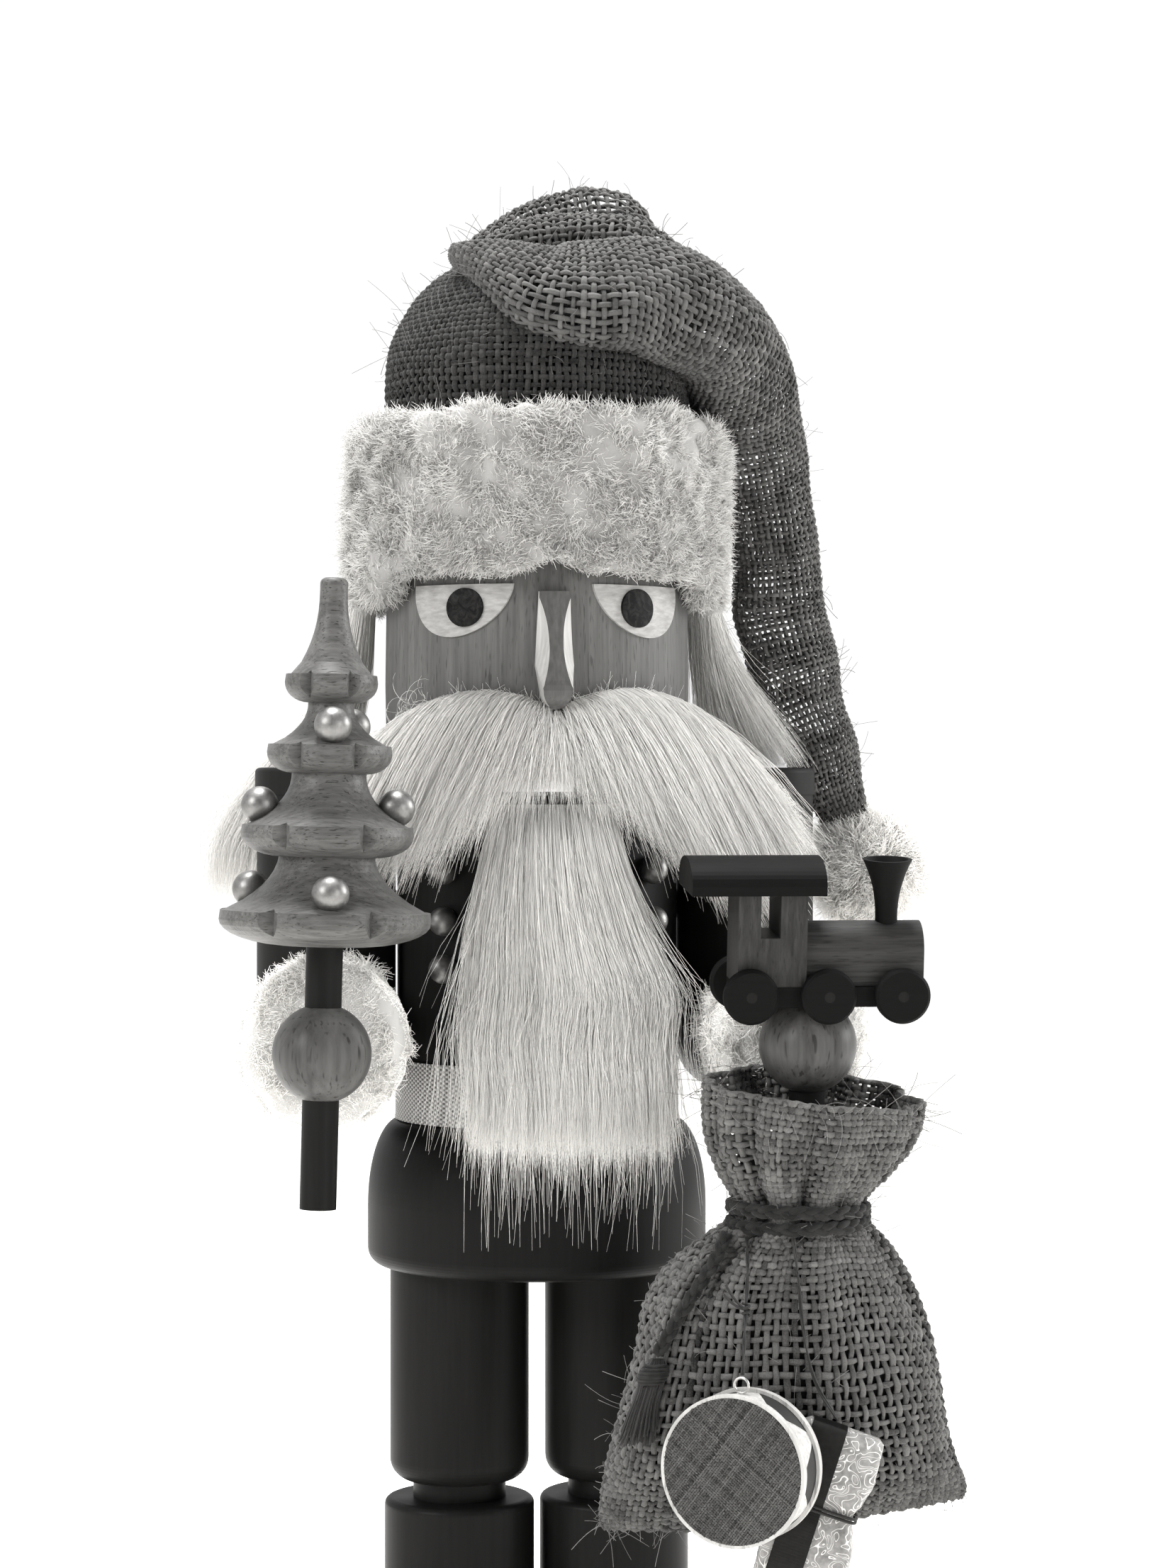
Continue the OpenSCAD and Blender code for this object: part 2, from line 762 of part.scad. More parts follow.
module train_roof() {
    over = 12.7;
    rise = 8.8;
    half = cab_d / 2 + 3;
    color("#1c1c1c") leaning() translate([cab_x - over, 0, cab_top]) rotate([90, 0, 90])
        linear_extrude(boiler_x - cab_x + over + 4.4)
        polygon(concat([[-half, 0], [half, 0]], arc([0, 2.4], half, rise - 2.4, 0, 180, 20)));
}

module train_boiler() {
    floor_z = chassis_z + chassis_t;
    color("#808080") leaning() translate([boiler_x, 0, 0]) rotate([90, 0, 90])
        linear_extrude(boiler_end - boiler_x) {
            translate([0, boiler_top - boiler_r]) circle(r = boiler_r, $fn = 48);
            translate([-boiler_r, floor_z]) square([2 * boiler_r, boiler_top - boiler_r - floor_z]);
        }
}

module train_chimney() {
    foot = boiler_top - 0.7;
    top = 49;
    color("#1c1c1c") leaning() difference() {
        translate([20, 0, 0]) turned(concat(
            [[0, foot], [3, foot]],
            [for (k = [0:8]) let (u = k / 8) [2.9 + 3.6 * pow(u, 2.2), foot + 1.5 + (top - foot - 1.5) * u]],
            [[5.5, top], [4.4, top - 1.8], [0, top - 2]]));
        translate([boiler_x, 0, boiler_top - boiler_r]) rotate([0, 90, 0])
            cylinder(r = boiler_r + 0.02, h = far / 5, $fn = 48);
    }
}

// Sack

module sack() {
    body = [
        sack_ring(sack_z, 1.05, 0.1, 0.06), sack_ring(sack_z + 6, 1.03, 0.42, 0.04),
        sack_ring(sack_z + 15, 1, 0.78, 0.01), sack_ring(sack_z + 26, 0.95, 1, 0),
        sack_ring(sack_z + 38, 0.88, 0.98, 0), sack_ring(sack_z + 52, 0.79, 0.9, 0),
        sack_ring(sack_z + 64, 0.68, 0.82, 0), ring([60.5, neck_y, 142], 23, 16.8),
        ring([neck_x, neck_y, neck_z - 4.4], neck_r, neck_r, 0)];
    collar = [
        ring([neck_x, neck_y, neck_z + 4.2], neck_r, neck_r), ring([62, -79, 164], 23, 15.5),
        ring([63, -81.5, 175], 28.4, 16.5), ring([64, -82, 185], 28.6, 17, -0.09)];
    mouth = [
        ring([62.5, -78.5, 162], 15, 11), ring([63, -80.5, 168], 22.6, 13.8),
        ring([63, -81.5, 177], 26.9, 15), ring([64, -82, 190], 27.1, 15.4, -0.05)];
    color("#6a6a6a") difference() {
        loft(concat(body, collar));
        loft(mouth);
        leaning() dowel(0, 0, stick_r + 0.25, -71, 0);
    }
}

// Level ring of the sack's lower part, with w and d as shares of the fullest half sizes
function sack_ring(z, w, d, slope) = ring([sack_x, -76, z + 2], sack_a * w, sack_b * d, slope);

module sack_tie() {
    color("#333333") for (z = [-2, 2]) translate([neck_x, neck_y, neck_z + z])
        rotate_extrude($fn = 64) translate([neck_r + tie_r + 0.15, 0]) circle(r = tie_r, $fn = 24);
}

module sack_braid() {
    color("#333333") tube(braid_route, braid_r);
}

module sack_tassel() {
    color("#2a2a2a") loft([
        ring([16, -91, 95], 5.4, 2.6), ring([17.5, -91, 103], 4.6, 2.6),
        ring([19.5, -90.6, 110], 3.4, 2.6), ring([21, -90.2, 114], 4.2, 3.2),
        ring([21.4, -90, 115.9], 2.4, 2.2)]);
}

// Drum

module at_drum() {
    translate(drum_place) rotate([0, 0, drum_turn]) rotate([-90, 0, 0]) children();
}

module disc_ring(r0, r1, z0, z1) {
    difference() {
        translate([0, 0, z0]) cylinder(r = r1, h = z1 - z0, $fn = round_fn);
        translate([0, 0, z0 - 1]) cylinder(r = r0, h = z1 - z0 + 2, $fn = round_fn);
    }
}

module drum_shell() {
    color("#c8c8c8") at_drum() difference() {
        disc_ring(drum_r - 1.6, drum_r, drum_skin, drum_t - drum_skin);
        eye_stem();
    }
}

module drum_heads() {
    color("#4a4a4a") at_drum() for (z = [0, drum_t - drum_skin]) translate([0, 0, z])
        cylinder(r = drum_r, h = drum_skin, $fn = round_fn);
}

module drum_hoops() {
    color("#dddddd") at_drum() for (z = [0, drum_t - 2]) disc_ring(drum_r + 0.02, drum_r + 0.9, z, z + 2);
}

module eye_stem() {
    translate([0, -drum_r - 0.6, drum_t / 2]) rotate([-90, 0, 0]) cylinder(r = wire_r, h = 3, $fn = 24);
}

module drum_eye() {
    color("silver") at_drum() {
        eye_stem();
        translate([0, -drum_r - 0.4 - eye_ring_r, drum_t / 2])
            rotate_extrude($fn = 48) translate([eye_ring_r, 0]) circle(r = wire_r, $fn = 16);
    }
}

module drum_thread() {
    color("#141414") tube(drum_route, thread_r);
}

// Parcel

module at_gift() {
    translate(gift_place) rotate([0, 0, gift_turn]) rotate([0, gift_lean, 0]) children();
}

// Soft box that its cord pulls in at the waist, grown outwards by g
module parcel_form(g) {
    loft([for (s = [[-21, 9.8, 3.4], [-20, 11, 4.2], [-9, 11.6, 5], [-1.2, 8.8, 3.8], [1.2, 8.8, 3.8],
        [9, 11.2, 5], [20, 10.4, 4.2], [21, 9.2, 3.4]]) box_ring(s[0] * (1 + g / 21), s[1] + g, s[2] + g)]);
}

function box_ring(z, a, b) = [for (k = [0:15]) let (t = 360 * k / 16)
    [a * pow(abs(cos(t)), 0.35) * sign(cos(t)), b * pow(abs(sin(t)), 0.35) * sign(sin(t)), z]];

module gift_parcel() {
    color("#d0d0d0") at_gift() parcel_form(0);
}

module gift_ribbon() {
    color("#262626") at_gift() difference() {
        intersection() {
            parcel_form(0.6);
            union() {
                translate([-8.4, -far / 2, -far / 2]) cube([9, far, far]);
                translate([-far / 2, -far / 2, -0.6]) cube([far, far, 1.2]);
            }
        }
        parcel_form(0.05);
    }
}

module gift_thread() {
    color("#141414") tube(gift_route, thread_r);
}

base_board();
right_boot();
left_boot();
right_leg();
left_leg();
leg_dowels();
skirt();
body_dowel();
torso();
belt();
coat_buttons();
jaw_lever();
lever_pin();
head();
head_dowels();
nose();
eye_whites();
pupils();
moustache();
beard();
back_hair();
right_hair();
left_hair();
hat();
fur_band();
pompom();
shoulder_caps();
shoulder_dowels();
right_arm();
left_arm();
right_forearm();
left_forearm();
right_cuff();
left_cuff();
right_hand();
left_hand();
tree_stick();
tree();
tree_beads();
train_stick();
train_chassis();
train_axles();
train_wheels();
train_cab();
train_roof();
train_boiler();
train_chimney();
sack();
sack_tie();
sack_braid();
sack_tassel();
drum_shell();
drum_heads();
drum_hoops();
drum_eye();
drum_thread();
gift_parcel();
gift_ribbon();
gift_thread();
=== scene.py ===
"""Looks of a turned wooden Christmas nutcracker figure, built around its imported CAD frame.

Lengths are millimetres up to the point where a mesh is made. +Z is up and the figure faces -Y.
"""
import math

import bpy
import numpy as np
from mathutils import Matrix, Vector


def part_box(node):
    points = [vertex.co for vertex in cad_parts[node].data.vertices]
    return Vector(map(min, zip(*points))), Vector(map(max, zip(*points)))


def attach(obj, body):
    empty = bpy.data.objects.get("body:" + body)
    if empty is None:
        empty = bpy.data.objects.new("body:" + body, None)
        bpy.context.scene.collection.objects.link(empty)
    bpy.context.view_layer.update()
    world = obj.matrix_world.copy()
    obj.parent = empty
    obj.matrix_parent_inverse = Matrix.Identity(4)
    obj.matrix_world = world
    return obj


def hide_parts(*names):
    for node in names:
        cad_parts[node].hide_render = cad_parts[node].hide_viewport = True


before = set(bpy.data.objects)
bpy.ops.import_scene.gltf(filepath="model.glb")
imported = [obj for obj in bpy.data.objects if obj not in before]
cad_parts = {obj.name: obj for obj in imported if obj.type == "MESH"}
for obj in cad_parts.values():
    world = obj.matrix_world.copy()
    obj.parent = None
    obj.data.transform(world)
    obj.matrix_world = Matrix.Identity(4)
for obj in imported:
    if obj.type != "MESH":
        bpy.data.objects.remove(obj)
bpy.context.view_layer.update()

MM = 0.001
TURN = 2 * math.pi
# A piece over 200,000 faces is thinned when it's exported, so big pieces are split below that.
MOST_FACES = 190_000
RIPPLE_WAVES = 9


# Numbers and curves


def unit(v):
    return v / np.maximum(np.linalg.norm(v, axis=-1, keepdims=True), 1e-9)


def mix(a, b, t):
    return a + (b - a) * t


def ripple(points, size, seed):
    """Smooth noise of about -1 to 1 at each point, with lumps about size across."""
    rng = np.random.default_rng(seed)
    waves = rng.normal(size=(RIPPLE_WAVES, 3)) * (1.6 / size)
    return 2 * np.sin(points @ waves.T + rng.uniform(0, TURN, RIPPLE_WAVES)).mean(-1)


def shake(points, size, seed):
    """Smooth noise with three parts at each point."""
    return np.stack([ripple(points, size, seed + k) for k in range(3)], -1)


def along(rows, at):
    """A smooth curve through the rows, where at runs from 0 at the first to 1 at the last."""
    rows = np.asarray(rows, float)
    at = np.clip(at, 0, 1) * (len(rows) - 1)
    i = np.minimum(at.astype(int), len(rows) - 2)
    t = (at - i)[..., None]
    padded = np.vstack([2 * rows[0] - rows[1], rows, 2 * rows[-1] - rows[-2]])
    a, b, c, d = (padded[i + k] for k in range(4))
    return b + 0.5 * t * (c - a + t * (2 * a - 5 * b + 4 * c - d + t * (3 * b - 3 * c + d - a)))


def curve(rows, count):
    return along(rows, np.linspace(0, 1, count))


def even(rows, count):
    """count points spaced evenly along a smooth curve through the rows."""
    fine = curve(rows, 600)
    run = np.concatenate([[0], np.cumsum(np.linalg.norm(np.diff(fine[:, :3], axis=0), axis=1))])
    at = np.linspace(0, run[-1], count)
    return np.stack([np.interp(at, run, fine[:, k]) for k in range(fine.shape[1])], -1)


def middle(node):
    low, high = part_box(node)
    return np.array(low + high) / 2 / MM


# Meshes


def piece(name, points, faces, material, body="root", slot=None, replaces=(), shade=None):
    """A piece of the object from points in millimetres and arrays of faces, riding on a body."""
    points = np.reshape(points, (-1, 3))
    groups = faces if isinstance(faces, list) else [faces]
    corners = np.concatenate([np.asarray(f).ravel() for f in groups])
    sizes = np.concatenate([np.full(len(f), np.asarray(f).shape[1]) for f in groups])
    mesh = bpy.data.meshes.new(name)
    mesh.vertices.add(len(points))
    mesh.vertices.foreach_set("co", (points * MM).astype(np.float32).ravel())
    mesh.loops.add(len(corners))
    mesh.loops.foreach_set("vertex_index", corners.astype(np.int32))
    mesh.polygons.add(len(sizes))
    starts = np.concatenate([[0], np.cumsum(sizes)[:-1]])
    mesh.polygons.foreach_set("loop_start", starts.astype(np.int32))
    mesh.update(calc_edges=True)
    mesh.shade_smooth()
    if shade is not None:
        values = mesh.attributes.new("shade", "FLOAT", "POINT")
        values.data.foreach_set("value", np.asarray(shade, np.float32).ravel())
    mesh.materials.append(material)
    made = bpy.data.objects.new(name, mesh)
    bpy.context.scene.collection.objects.link(made)
    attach(made, body)
    if replaces:
        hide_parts(*replaces)
    return made


def tubes(lines, width, sides, up=None, thickness=None):
    """Points and triangles of a closed tube along each line of (tube, point, xyz)."""
    n, m = lines.shape[:2]
    way = unit(np.gradient(lines, axis=1))
    if up is None:
        steep = abs(way.mean(1, keepdims=True)[..., 2:]) > 0.7
        up = np.where(steep, [1.0, 0, 0], [0, 0, 1.0])
    across = unit(np.cross(way, up))
    top = np.cross(across, way)
    width = np.broadcast_to(width, (n, m))
    thickness = width if thickness is None else np.broadcast_to(thickness, (n, m))
    turn = np.arange(sides) * TURN / sides
    points = (
        lines[:, :, None]
        + across[:, :, None] * (width[..., None] * np.cos(turn))[..., None]
        + top[:, :, None] * (thickness[..., None] * np.sin(turn))[..., None]
    )
    start = (np.arange(n)[:, None, None] * m + np.arange(m - 1)[:, None]) * sides
    a, b = start + np.arange(sides), start + (np.arange(sides) + 1) % sides
    walls = np.stack([a, a + sides, b + sides, a, b + sides, b], -1).reshape(-1, 3)
    fan = np.stack([np.zeros(sides - 2, int), np.arange(1, sides - 1), np.arange(2, sides)], -1)
    first = (np.arange(n) * m * sides)[:, None, None] + fan
    last = first[..., ::-1] + (m - 1) * sides
    return points.reshape(-1, 3), np.concatenate([walls, first.reshape(-1, 3), last.reshape(-1, 3)])


def strand_pieces(name, lines, width, material, sides=3, shade=None, up=None, thickness=None, **more):
    """Pieces of thin tubes, split so that each stays small enough to export whole."""
    n, m = lines.shape[:2]
    width = np.broadcast_to(width, (n, m))
    thickness = width if thickness is None else np.broadcast_to(thickness, (n, m))
    shade = np.broadcast_to(0.5 if shade is None else shade, (n, m))
    each = (m - 1) * sides * 2 + 2 * (sides - 2)
    parts = math.ceil(n * each / MOST_FACES)
    made = []
    replaces = more.pop("replaces", ())
    for k in range(parts):
        pick = slice(k * n // parts, (k + 1) * n // parts)
        points, faces = tubes(lines[pick], width[pick], sides, None if up is None else up[pick],
                              thickness[pick])
        label = name if parts == 1 else f"{name}_{k + 1}"
        made.append(piece(label, points, faces, material, replaces=replaces if k == 0 else (),
                          shade=np.repeat(shade[pick].ravel(), sides), **more))
    return made


def yarn(name, lines, width, material, sides, mottle=(0, 1, 1), shade=0.5, up=None, **more):
    """One piece of thick strands. mottle is how far its shade varies, the size of the patches and a seed."""
    points, faces = tubes(lines, width, sides, up)
    strength, size, seed = mottle
    return piece(name, points, faces, material, shade=shade + strength * ripple(points, size, seed), **more)


def grid_faces(rows, columns, closed_rows=False):
    """Quads of a grid whose columns close on themselves."""
    i = np.arange(rows if closed_rows else rows - 1)[:, None] * columns
    j = np.arange(columns)
    k = (j + 1) % columns
    below = (i + columns) % (rows * columns)
    return np.stack([i + j, i + k, below + k, below + j], -1).reshape(-1, 4)


def ended_faces(rows, columns):
    """Faces of a grid whose columns close on themselves, with one face over each end."""
    ends = [np.arange(columns)[None, ::-1], (rows - 1) * columns + np.arange(columns)[None]]
    return [grid_faces(rows, columns), *ends]


# Materials


class Surface:
    """A material around one Principled shader, with its nodes added one at a time."""

    def __init__(self, name, **values):
        self.material = bpy.data.materials.new(name)
        self.material.use_nodes = True
        self.tree = self.material.node_tree
        self.shader = self.tree.nodes["Principled BSDF"]
        for key, value in values.items():
            self.feed(key.replace("_", " ").title().replace("Ior", "IOR"), value)
        self.place = self.node("TexCoord").node.outputs["Object"]

    def link(self, socket, value):
        if isinstance(value, bpy.types.NodeSocket):
            self.tree.links.new(value, socket)
        else:
            socket.default_value = value

    def feed(self, socket, value):
        self.link(self.shader.inputs[socket], value)

    def node(self, kind, inputs=None, **settings):
        made = self.tree.nodes.new("ShaderNode" + kind)
        for key, value in settings.items():
            setattr(made, key, value)
        for key, value in (inputs or {}).items():
            self.link(made.inputs[key], value)
        return made.outputs[0]

    def stretched(self, scale):
        """Object coordinates scaled per axis, in lumps per metre."""
        return self.node("Mapping", {"Vector": self.place, "Scale": scale})

    def noise(self, place, scale=1.0, detail=3.0, rough=0.55, bend=0.0):
        return self.node("TexNoise", {"Vector": place, "Scale": scale, "Detail": detail,
                                      "Roughness": rough, "Distortion": bend})

    def tones(self, value, stops):
        """Greys, or colours, at positions from 0 to 1 of a value."""
        ramp = self.node("ValToRGB", {"Fac": value}).node
        points = ramp.color_ramp.elements
        while len(points) < len(stops):
            points.new(0.5)
        for point, (at, tone) in zip(points, stops):
            point.position = at
            point.color = (*colour(tone), 1)
        return ramp.outputs["Color"]

    def maths(self, operation, a, b):
        return self.node("Math", {0: a, 1: b}, operation=operation)

    def blend(self, share, a, b):
        made = self.tree.nodes.new("ShaderNodeMix")
        made.data_type = "RGBA"
        self.link(made.inputs["Factor"], share)
        self.link(made.inputs[6], a)
        self.link(made.inputs[7], b)
        return made.outputs[2]

    def bump(self, height, distance, strength):
        """Raises the surface by a height of 0 to 1 times a distance in metres."""
        self.feed("Normal", self.node("Bump", {"Height": height, "Distance": distance, "Strength": strength}))


# Light enters the photograph nearly without colour, so every tone is a grey with a slight warmth.
WARMTH = np.array([1.0, 0.985, 0.955])


def colour(tone):
    return tuple(np.clip(tone * WARMTH, 0, 1)) if np.isscalar(tone) else tuple(tone)


# How much coarser the growth rings are than the fibres, and how much finer the pores are along and across.
RING_STRETCH = 0.14
PORE_STRETCH = (5.0, 2.2)
# How strongly the grain shows through dark stain.
GRAIN_SHOW = 0.3


def wood(name, dark, light, grain=(900, 900, 40), rough=0.45, pores=0.5, rings=0.35):
    """Stained or bare beech: long grain, growth rings and short dark pores."""
    made = Surface(name, roughness=rough, specular_ior_level=0.15)
    grain = np.array(grain, float)
    fibres = made.noise(made.stretched(tuple(grain)), detail=4, rough=0.6)
    broad = made.noise(made.stretched(tuple(grain * RING_STRETCH)), detail=3, bend=0.6)
    short = grain * np.where(grain == grain.min(), *PORE_STRETCH)
    flecks = made.noise(made.stretched(tuple(short)), detail=1)
    fleck = made.tones(flecks, [(0.0, 0.0), (0.6, 0.0), (0.72, 1.0)])
    tone = made.blend(made.tones(broad, [(0.32, 0.0), (0.68, 1.0)]), (*colour(dark), 1), (*colour(light), 1))
    tone = made.blend(rings, tone, made.tones(fibres, [(0.3, dark), (0.7, light)]))
    shadow = made.maths("MULTIPLY", fleck, pores)
    tone = made.blend(shadow, tone, (*colour(dark * 0.35), 1))
    made.feed("Base Color", tone)
    made.feed("Roughness", made.maths("ADD", made.maths("MULTIPLY", fibres, 0.16), rough - 0.08))
    height = made.maths("SUBTRACT", made.maths("MULTIPLY", fibres, 0.5), fleck)
    made.bump(height, 0.00006, 0.5)
    return made.material


def paint(name, tone, rough=0.38, grain=(700, 700, 30)):
    """Dark satin stain with the grain just showing through it and faint dust."""
    made = Surface(name, roughness=rough, specular_ior_level=0.07)
    fibres = made.noise(made.stretched(grain), detail=4, rough=0.65)
    patches = made.noise(made.stretched((60, 60, 25)), detail=2)
    base = made.tones(fibres, [(0.25, tone * (1 - GRAIN_SHOW)), (0.75, tone * (1 + 1.6 * GRAIN_SHOW))])
    worn = made.tones(patches, [(0.3, tone * 0.85), (0.7, tone * 1.3)])
    made.feed("Base Color", made.blend(0.45, base, worn))
    made.feed("Roughness", made.maths("ADD", made.maths("MULTIPLY", patches, 0.2), rough - 0.1))
    speck = made.noise(made.place, 4200, detail=2)
    made.bump(made.maths("ADD", fibres, made.maths("MULTIPLY", speck, 0.4)), 0.00005, 0.4)
    return made.material


def fibre(name, dark, light, rough, sheen, fine=0.0):
    """Thread, wool or hair, whose tone follows the shade stored on each strand, with finer mottling."""
    made = Surface(name, roughness=rough, specular_ior_level=0.2, sheen_weight=sheen, sheen_roughness=0.4)
    shade = made.node("Attribute", attribute_name="shade").node.outputs["Fac"]
    if fine:
        twist = made.noise(made.place, 2600, detail=4, rough=0.7)
        shade = made.maths("ADD", shade, made.maths("MULTIPLY", made.maths("SUBTRACT", twist, 0.5), fine))
        made.bump(twist, 0.00025, 0.7)
    made.feed("Base Color", made.tones(shade, [(0.0, dark), (1.0, light)]))
    return made.material


def metal(name, tone, rough):
    """Plain metal that is a little clouded and scratched."""
    made = Surface(name, metallic=0.85, roughness=rough)
    clouds = made.noise(made.place, 420, detail=4, rough=0.7)
    made.feed("Base Color", made.tones(clouds, [(0.3, tone * 0.7), (0.7, tone * 1.15)]))
    made.feed("Roughness", made.maths("ADD", made.maths("MULTIPLY", clouds, 0.35), rough - 0.15))
    made.bump(made.noise(made.place, 1500, detail=3), 0.00008, 0.35)
    return made.material


def painted_white():
    """Brushed white paint of the eyes, a little grey where it is thin."""
    made = Surface("eye_paint", roughness=0.5, specular_ior_level=0.2)
    strokes = made.noise(made.stretched((260, 260, 900)), detail=4, rough=0.6)
    made.feed("Base Color", made.tones(strokes, [(0.3, 0.22), (0.7, 0.36)]))
    made.bump(strokes, 0.00006, 0.5)
    return made.material


def painted_black():
    """Black paint of the pupils, smeared where the brush turned."""
    made = Surface("pupil_paint", roughness=0.5, specular_ior_level=0.06)
    smears = made.noise(made.place, 360, detail=4, rough=0.6, bend=1.5)
    made.feed("Base Color", made.tones(smears, [(0.42, 0.004), (0.7, 0.02)]))
    made.bump(smears, 0.00008, 0.4)
    return made.material


def nose_wood():
    """A dark ridge, with the faces turned sideways pale."""
    made = Surface("nose_wood", roughness=0.5, specular_ior_level=0.2)
    fibres = made.noise(made.stretched((900, 900, 50)), detail=4)
    # The tone is chosen by the direction each face points: faces turned sideways are pale and the ridge is
    # dark.
    facing = made.node("TexCoord").node.outputs["Normal"]
    side = made.maths("ABSOLUTE", made.node("SeparateXYZ", {"Vector": facing}).node.outputs["X"], 0.0)
    sideways = made.tones(side, [(0.5, 0.0), (0.62, 1.0)])
    ridge_tone = made.tones(fibres, [(0.3, 0.06), (0.7, 0.1)])
    bare = made.tones(fibres, [(0.3, 0.34), (0.7, 0.5)])
    made.feed("Base Color", made.blend(sideways, ridge_tone, bare))
    made.bump(fibres, 0.00006, 0.5)
    return made.material


def drum_card():
    """Pale card with dark triangles round it, whose points are at the front rim."""
    made = Surface("drum_card", roughness=0.6, specular_ior_level=0.3)
    card = made.tones(made.noise(made.place, 900), [(0.3, 0.3), (0.7, 0.5)])
    frame_of_drum = {"Vector": made.place, "Location": tuple(np.array(DRUM_PLACE) * MM),
                     "Rotation": (0, 0, math.radians(DRUM_TURN))}
    local = made.node("Mapping", frame_of_drum, vector_type="TEXTURE")
    parts = made.node("SeparateXYZ", {"Vector": local}).node.outputs
    angle = made.maths("ADD", made.maths("ARCTAN2", parts["Z"], parts["X"]), math.radians(FIRST_TRIANGLE))
    zigzag = made.maths("PINGPONG", made.maths("MULTIPLY", angle, DRUM_TRIANGLES / TURN), 0.5)
    depth = made.maths("DIVIDE", parts["Y"], 2 * DRUM_DEPTH * MM)
    dark = made.maths("GREATER_THAN", depth, zigzag)
    made.feed("Base Color", made.blend(dark, card, (*colour(0.012), 1)))
    made.bump(made.noise(made.place, 2500), 0.00005, 0.5)
    return made.material


def gift_paper():
    """Grey wrapping paper with pale looping lines."""
    made = Surface("gift_paper", roughness=0.55, specular_ior_level=0.3)
    swirl = made.noise(made.place, 190, detail=0.5, bend=1.3)
    loops = made.maths("PINGPONG", made.maths("MULTIPLY", swirl, 8.0), 0.5)
    line = made.tones(loops, [(0.05, 1.0), (0.1, 0.0)])
    paper = made.tones(made.noise(made.place, 500, detail=4), [(0.3, 0.14), (0.7, 0.3)])
    made.feed("Base Color", made.blend(line, paper, (*colour(0.68), 1)))
    return made.material


# Camera, light and floor

CAMERA_AZIMUTH = -7
CAMERA_DISTANCE = 1000
CAMERA_HEIGHT = 264
# How far the view's middle lies to the right of the figure's axis.
CAMERA_ASIDE = 14.4
CAMERA_LENS, CAMERA_SENSOR = 81.4, 36


def make_camera():
    """A level camera from the photograph's side and height."""
    data = bpy.data.cameras.new("camera")
    data.lens, data.sensor_width = CAMERA_LENS, CAMERA_SENSOR
    data.dof.use_dof = False
    camera = bpy.data.objects.new("camera", data)
    a = math.radians(CAMERA_AZIMUTH)
    back, right = np.array([math.sin(a), -math.cos(a), 0]), np.array([math.cos(a), math.sin(a), 0])
    place = back * CAMERA_DISTANCE + right * CAMERA_ASIDE + np.array([0, 0, CAMERA_HEIGHT])
    camera.location = place * MM
    camera.rotation_euler = (math.pi / 2, 0, a)
    bpy.context.scene.collection.objects.link(camera)
    bpy.context.scene.camera = camera


# Soft round lamps: place in millimetres, size in metres and power in watts.
LAMP_TARGET = (0, 0, 220)
LAMPS = {"key": ((-1150, -800, 850), 0.6, 16), "fill": ((1250, 50, 600), 0.6, 14),
         "front": ((800, -1100, 450), 0.6, 6), "top": ((-100, 100, 1500), 0.5, 38)}
# The studio wall is bright behind the figure and dimmer in front of it.
WALL = {"From Min": -0.8, "From Max": 0.35, "To Min": 0.3, "To Max": 1.03}


def make_lamp(name, place, size, power):
    data = bpy.data.lights.new(name, "AREA")
    data.shape, data.size, data.energy = "DISK", size, power
    lamp = bpy.data.objects.new(name, data)
    lamp.location = np.array(place) * MM
    toward = Vector((np.array(LAMP_TARGET) - np.array(place)).tolist())
    lamp.rotation_euler = toward.to_track_quat("-Z", "Y").to_euler()
    bpy.context.scene.collection.objects.link(lamp)


def make_light():
    """A studio wall all round, and the lamps."""
    world = bpy.data.worlds.new("studio")
    world.use_nodes = True
    bpy.context.scene.world = world
    nodes, links = world.node_tree.nodes, world.node_tree.links
    background = nodes["Background"]
    split = nodes.new("ShaderNodeSeparateXYZ")
    links.new(nodes.new("ShaderNodeTexCoord").outputs["Generated"], split.inputs[0])
    depth = nodes.new("ShaderNodeMapRange")
    depth.interpolation_type = "SMOOTHSTEP"
    links.new(split.outputs["Y"], depth.inputs["Value"])
    for key, value in WALL.items():
        depth.inputs[key].default_value = value
    background.inputs["Color"].default_value = (1, 1, 1, 1)
    links.new(depth.outputs["Result"], background.inputs["Strength"])
    for name, lamp in LAMPS.items():
        make_lamp(name, *lamp)
    bpy.context.scene.view_settings.view_transform = "Standard"


FLOOR_GLOW, FLOOR_RADIUS = 0.35, 3


def make_floor():
    """A plain pale floor that glows a little, so that it stays as white as the wall."""
    made = Surface("floor", roughness=0.7)
    made.feed("Base Color", made.tones(made.noise(made.place, 30), [(0.3, 0.92), (0.7, 0.95)]))
    made.feed("Emission Color", (1, 1, 1, 1))
    made.feed("Emission Strength", FLOOR_GLOW)
    bpy.ops.mesh.primitive_circle_add(vertices=128, radius=FLOOR_RADIUS, fill_type="NGON")
    floor = bpy.context.object
    floor.name = "floor"
    floor.data.materials.append(made.material)


# Cords, whose routes are the CAD's own

BRAID_ROUTE = [(40.4, -84.5, 147), (36.5, -89.5, 141), (31, -91, 133), (26, -90.5, 125),
               (21.5, -90, 117)]
DRUM_ROUTE = [(45, -88.4, 147), (44, -96, 139), (42.6, -101.5, 130), (41.2, -107, 122), (40, -112, 115)]
GIFT_ROUTE = [(56, -95.6, 147), (56.6, -99.5, 137), (57.5, -102, 124), (60, -104, 112),
              (65.5, -105.5, 102)]
BRAID_D, THREAD_D = 3.8, 1.0
STRAND_R = BRAID_D / 4
# The drum's and the parcel's places and turns are the CAD's own too.
DRUM_PLACE, DRUM_TURN, DRUM_DEPTH, DRUM_R = (36.4, -117.5, 91.7), -31, 13, 18.4
DRUM_TRIANGLES, FIRST_TRIANGLE = 6, 4.5
GIFT_PLACE, GIFT_TURN, GIFT_LEAN = (61, -105.6, 80), -12, 18
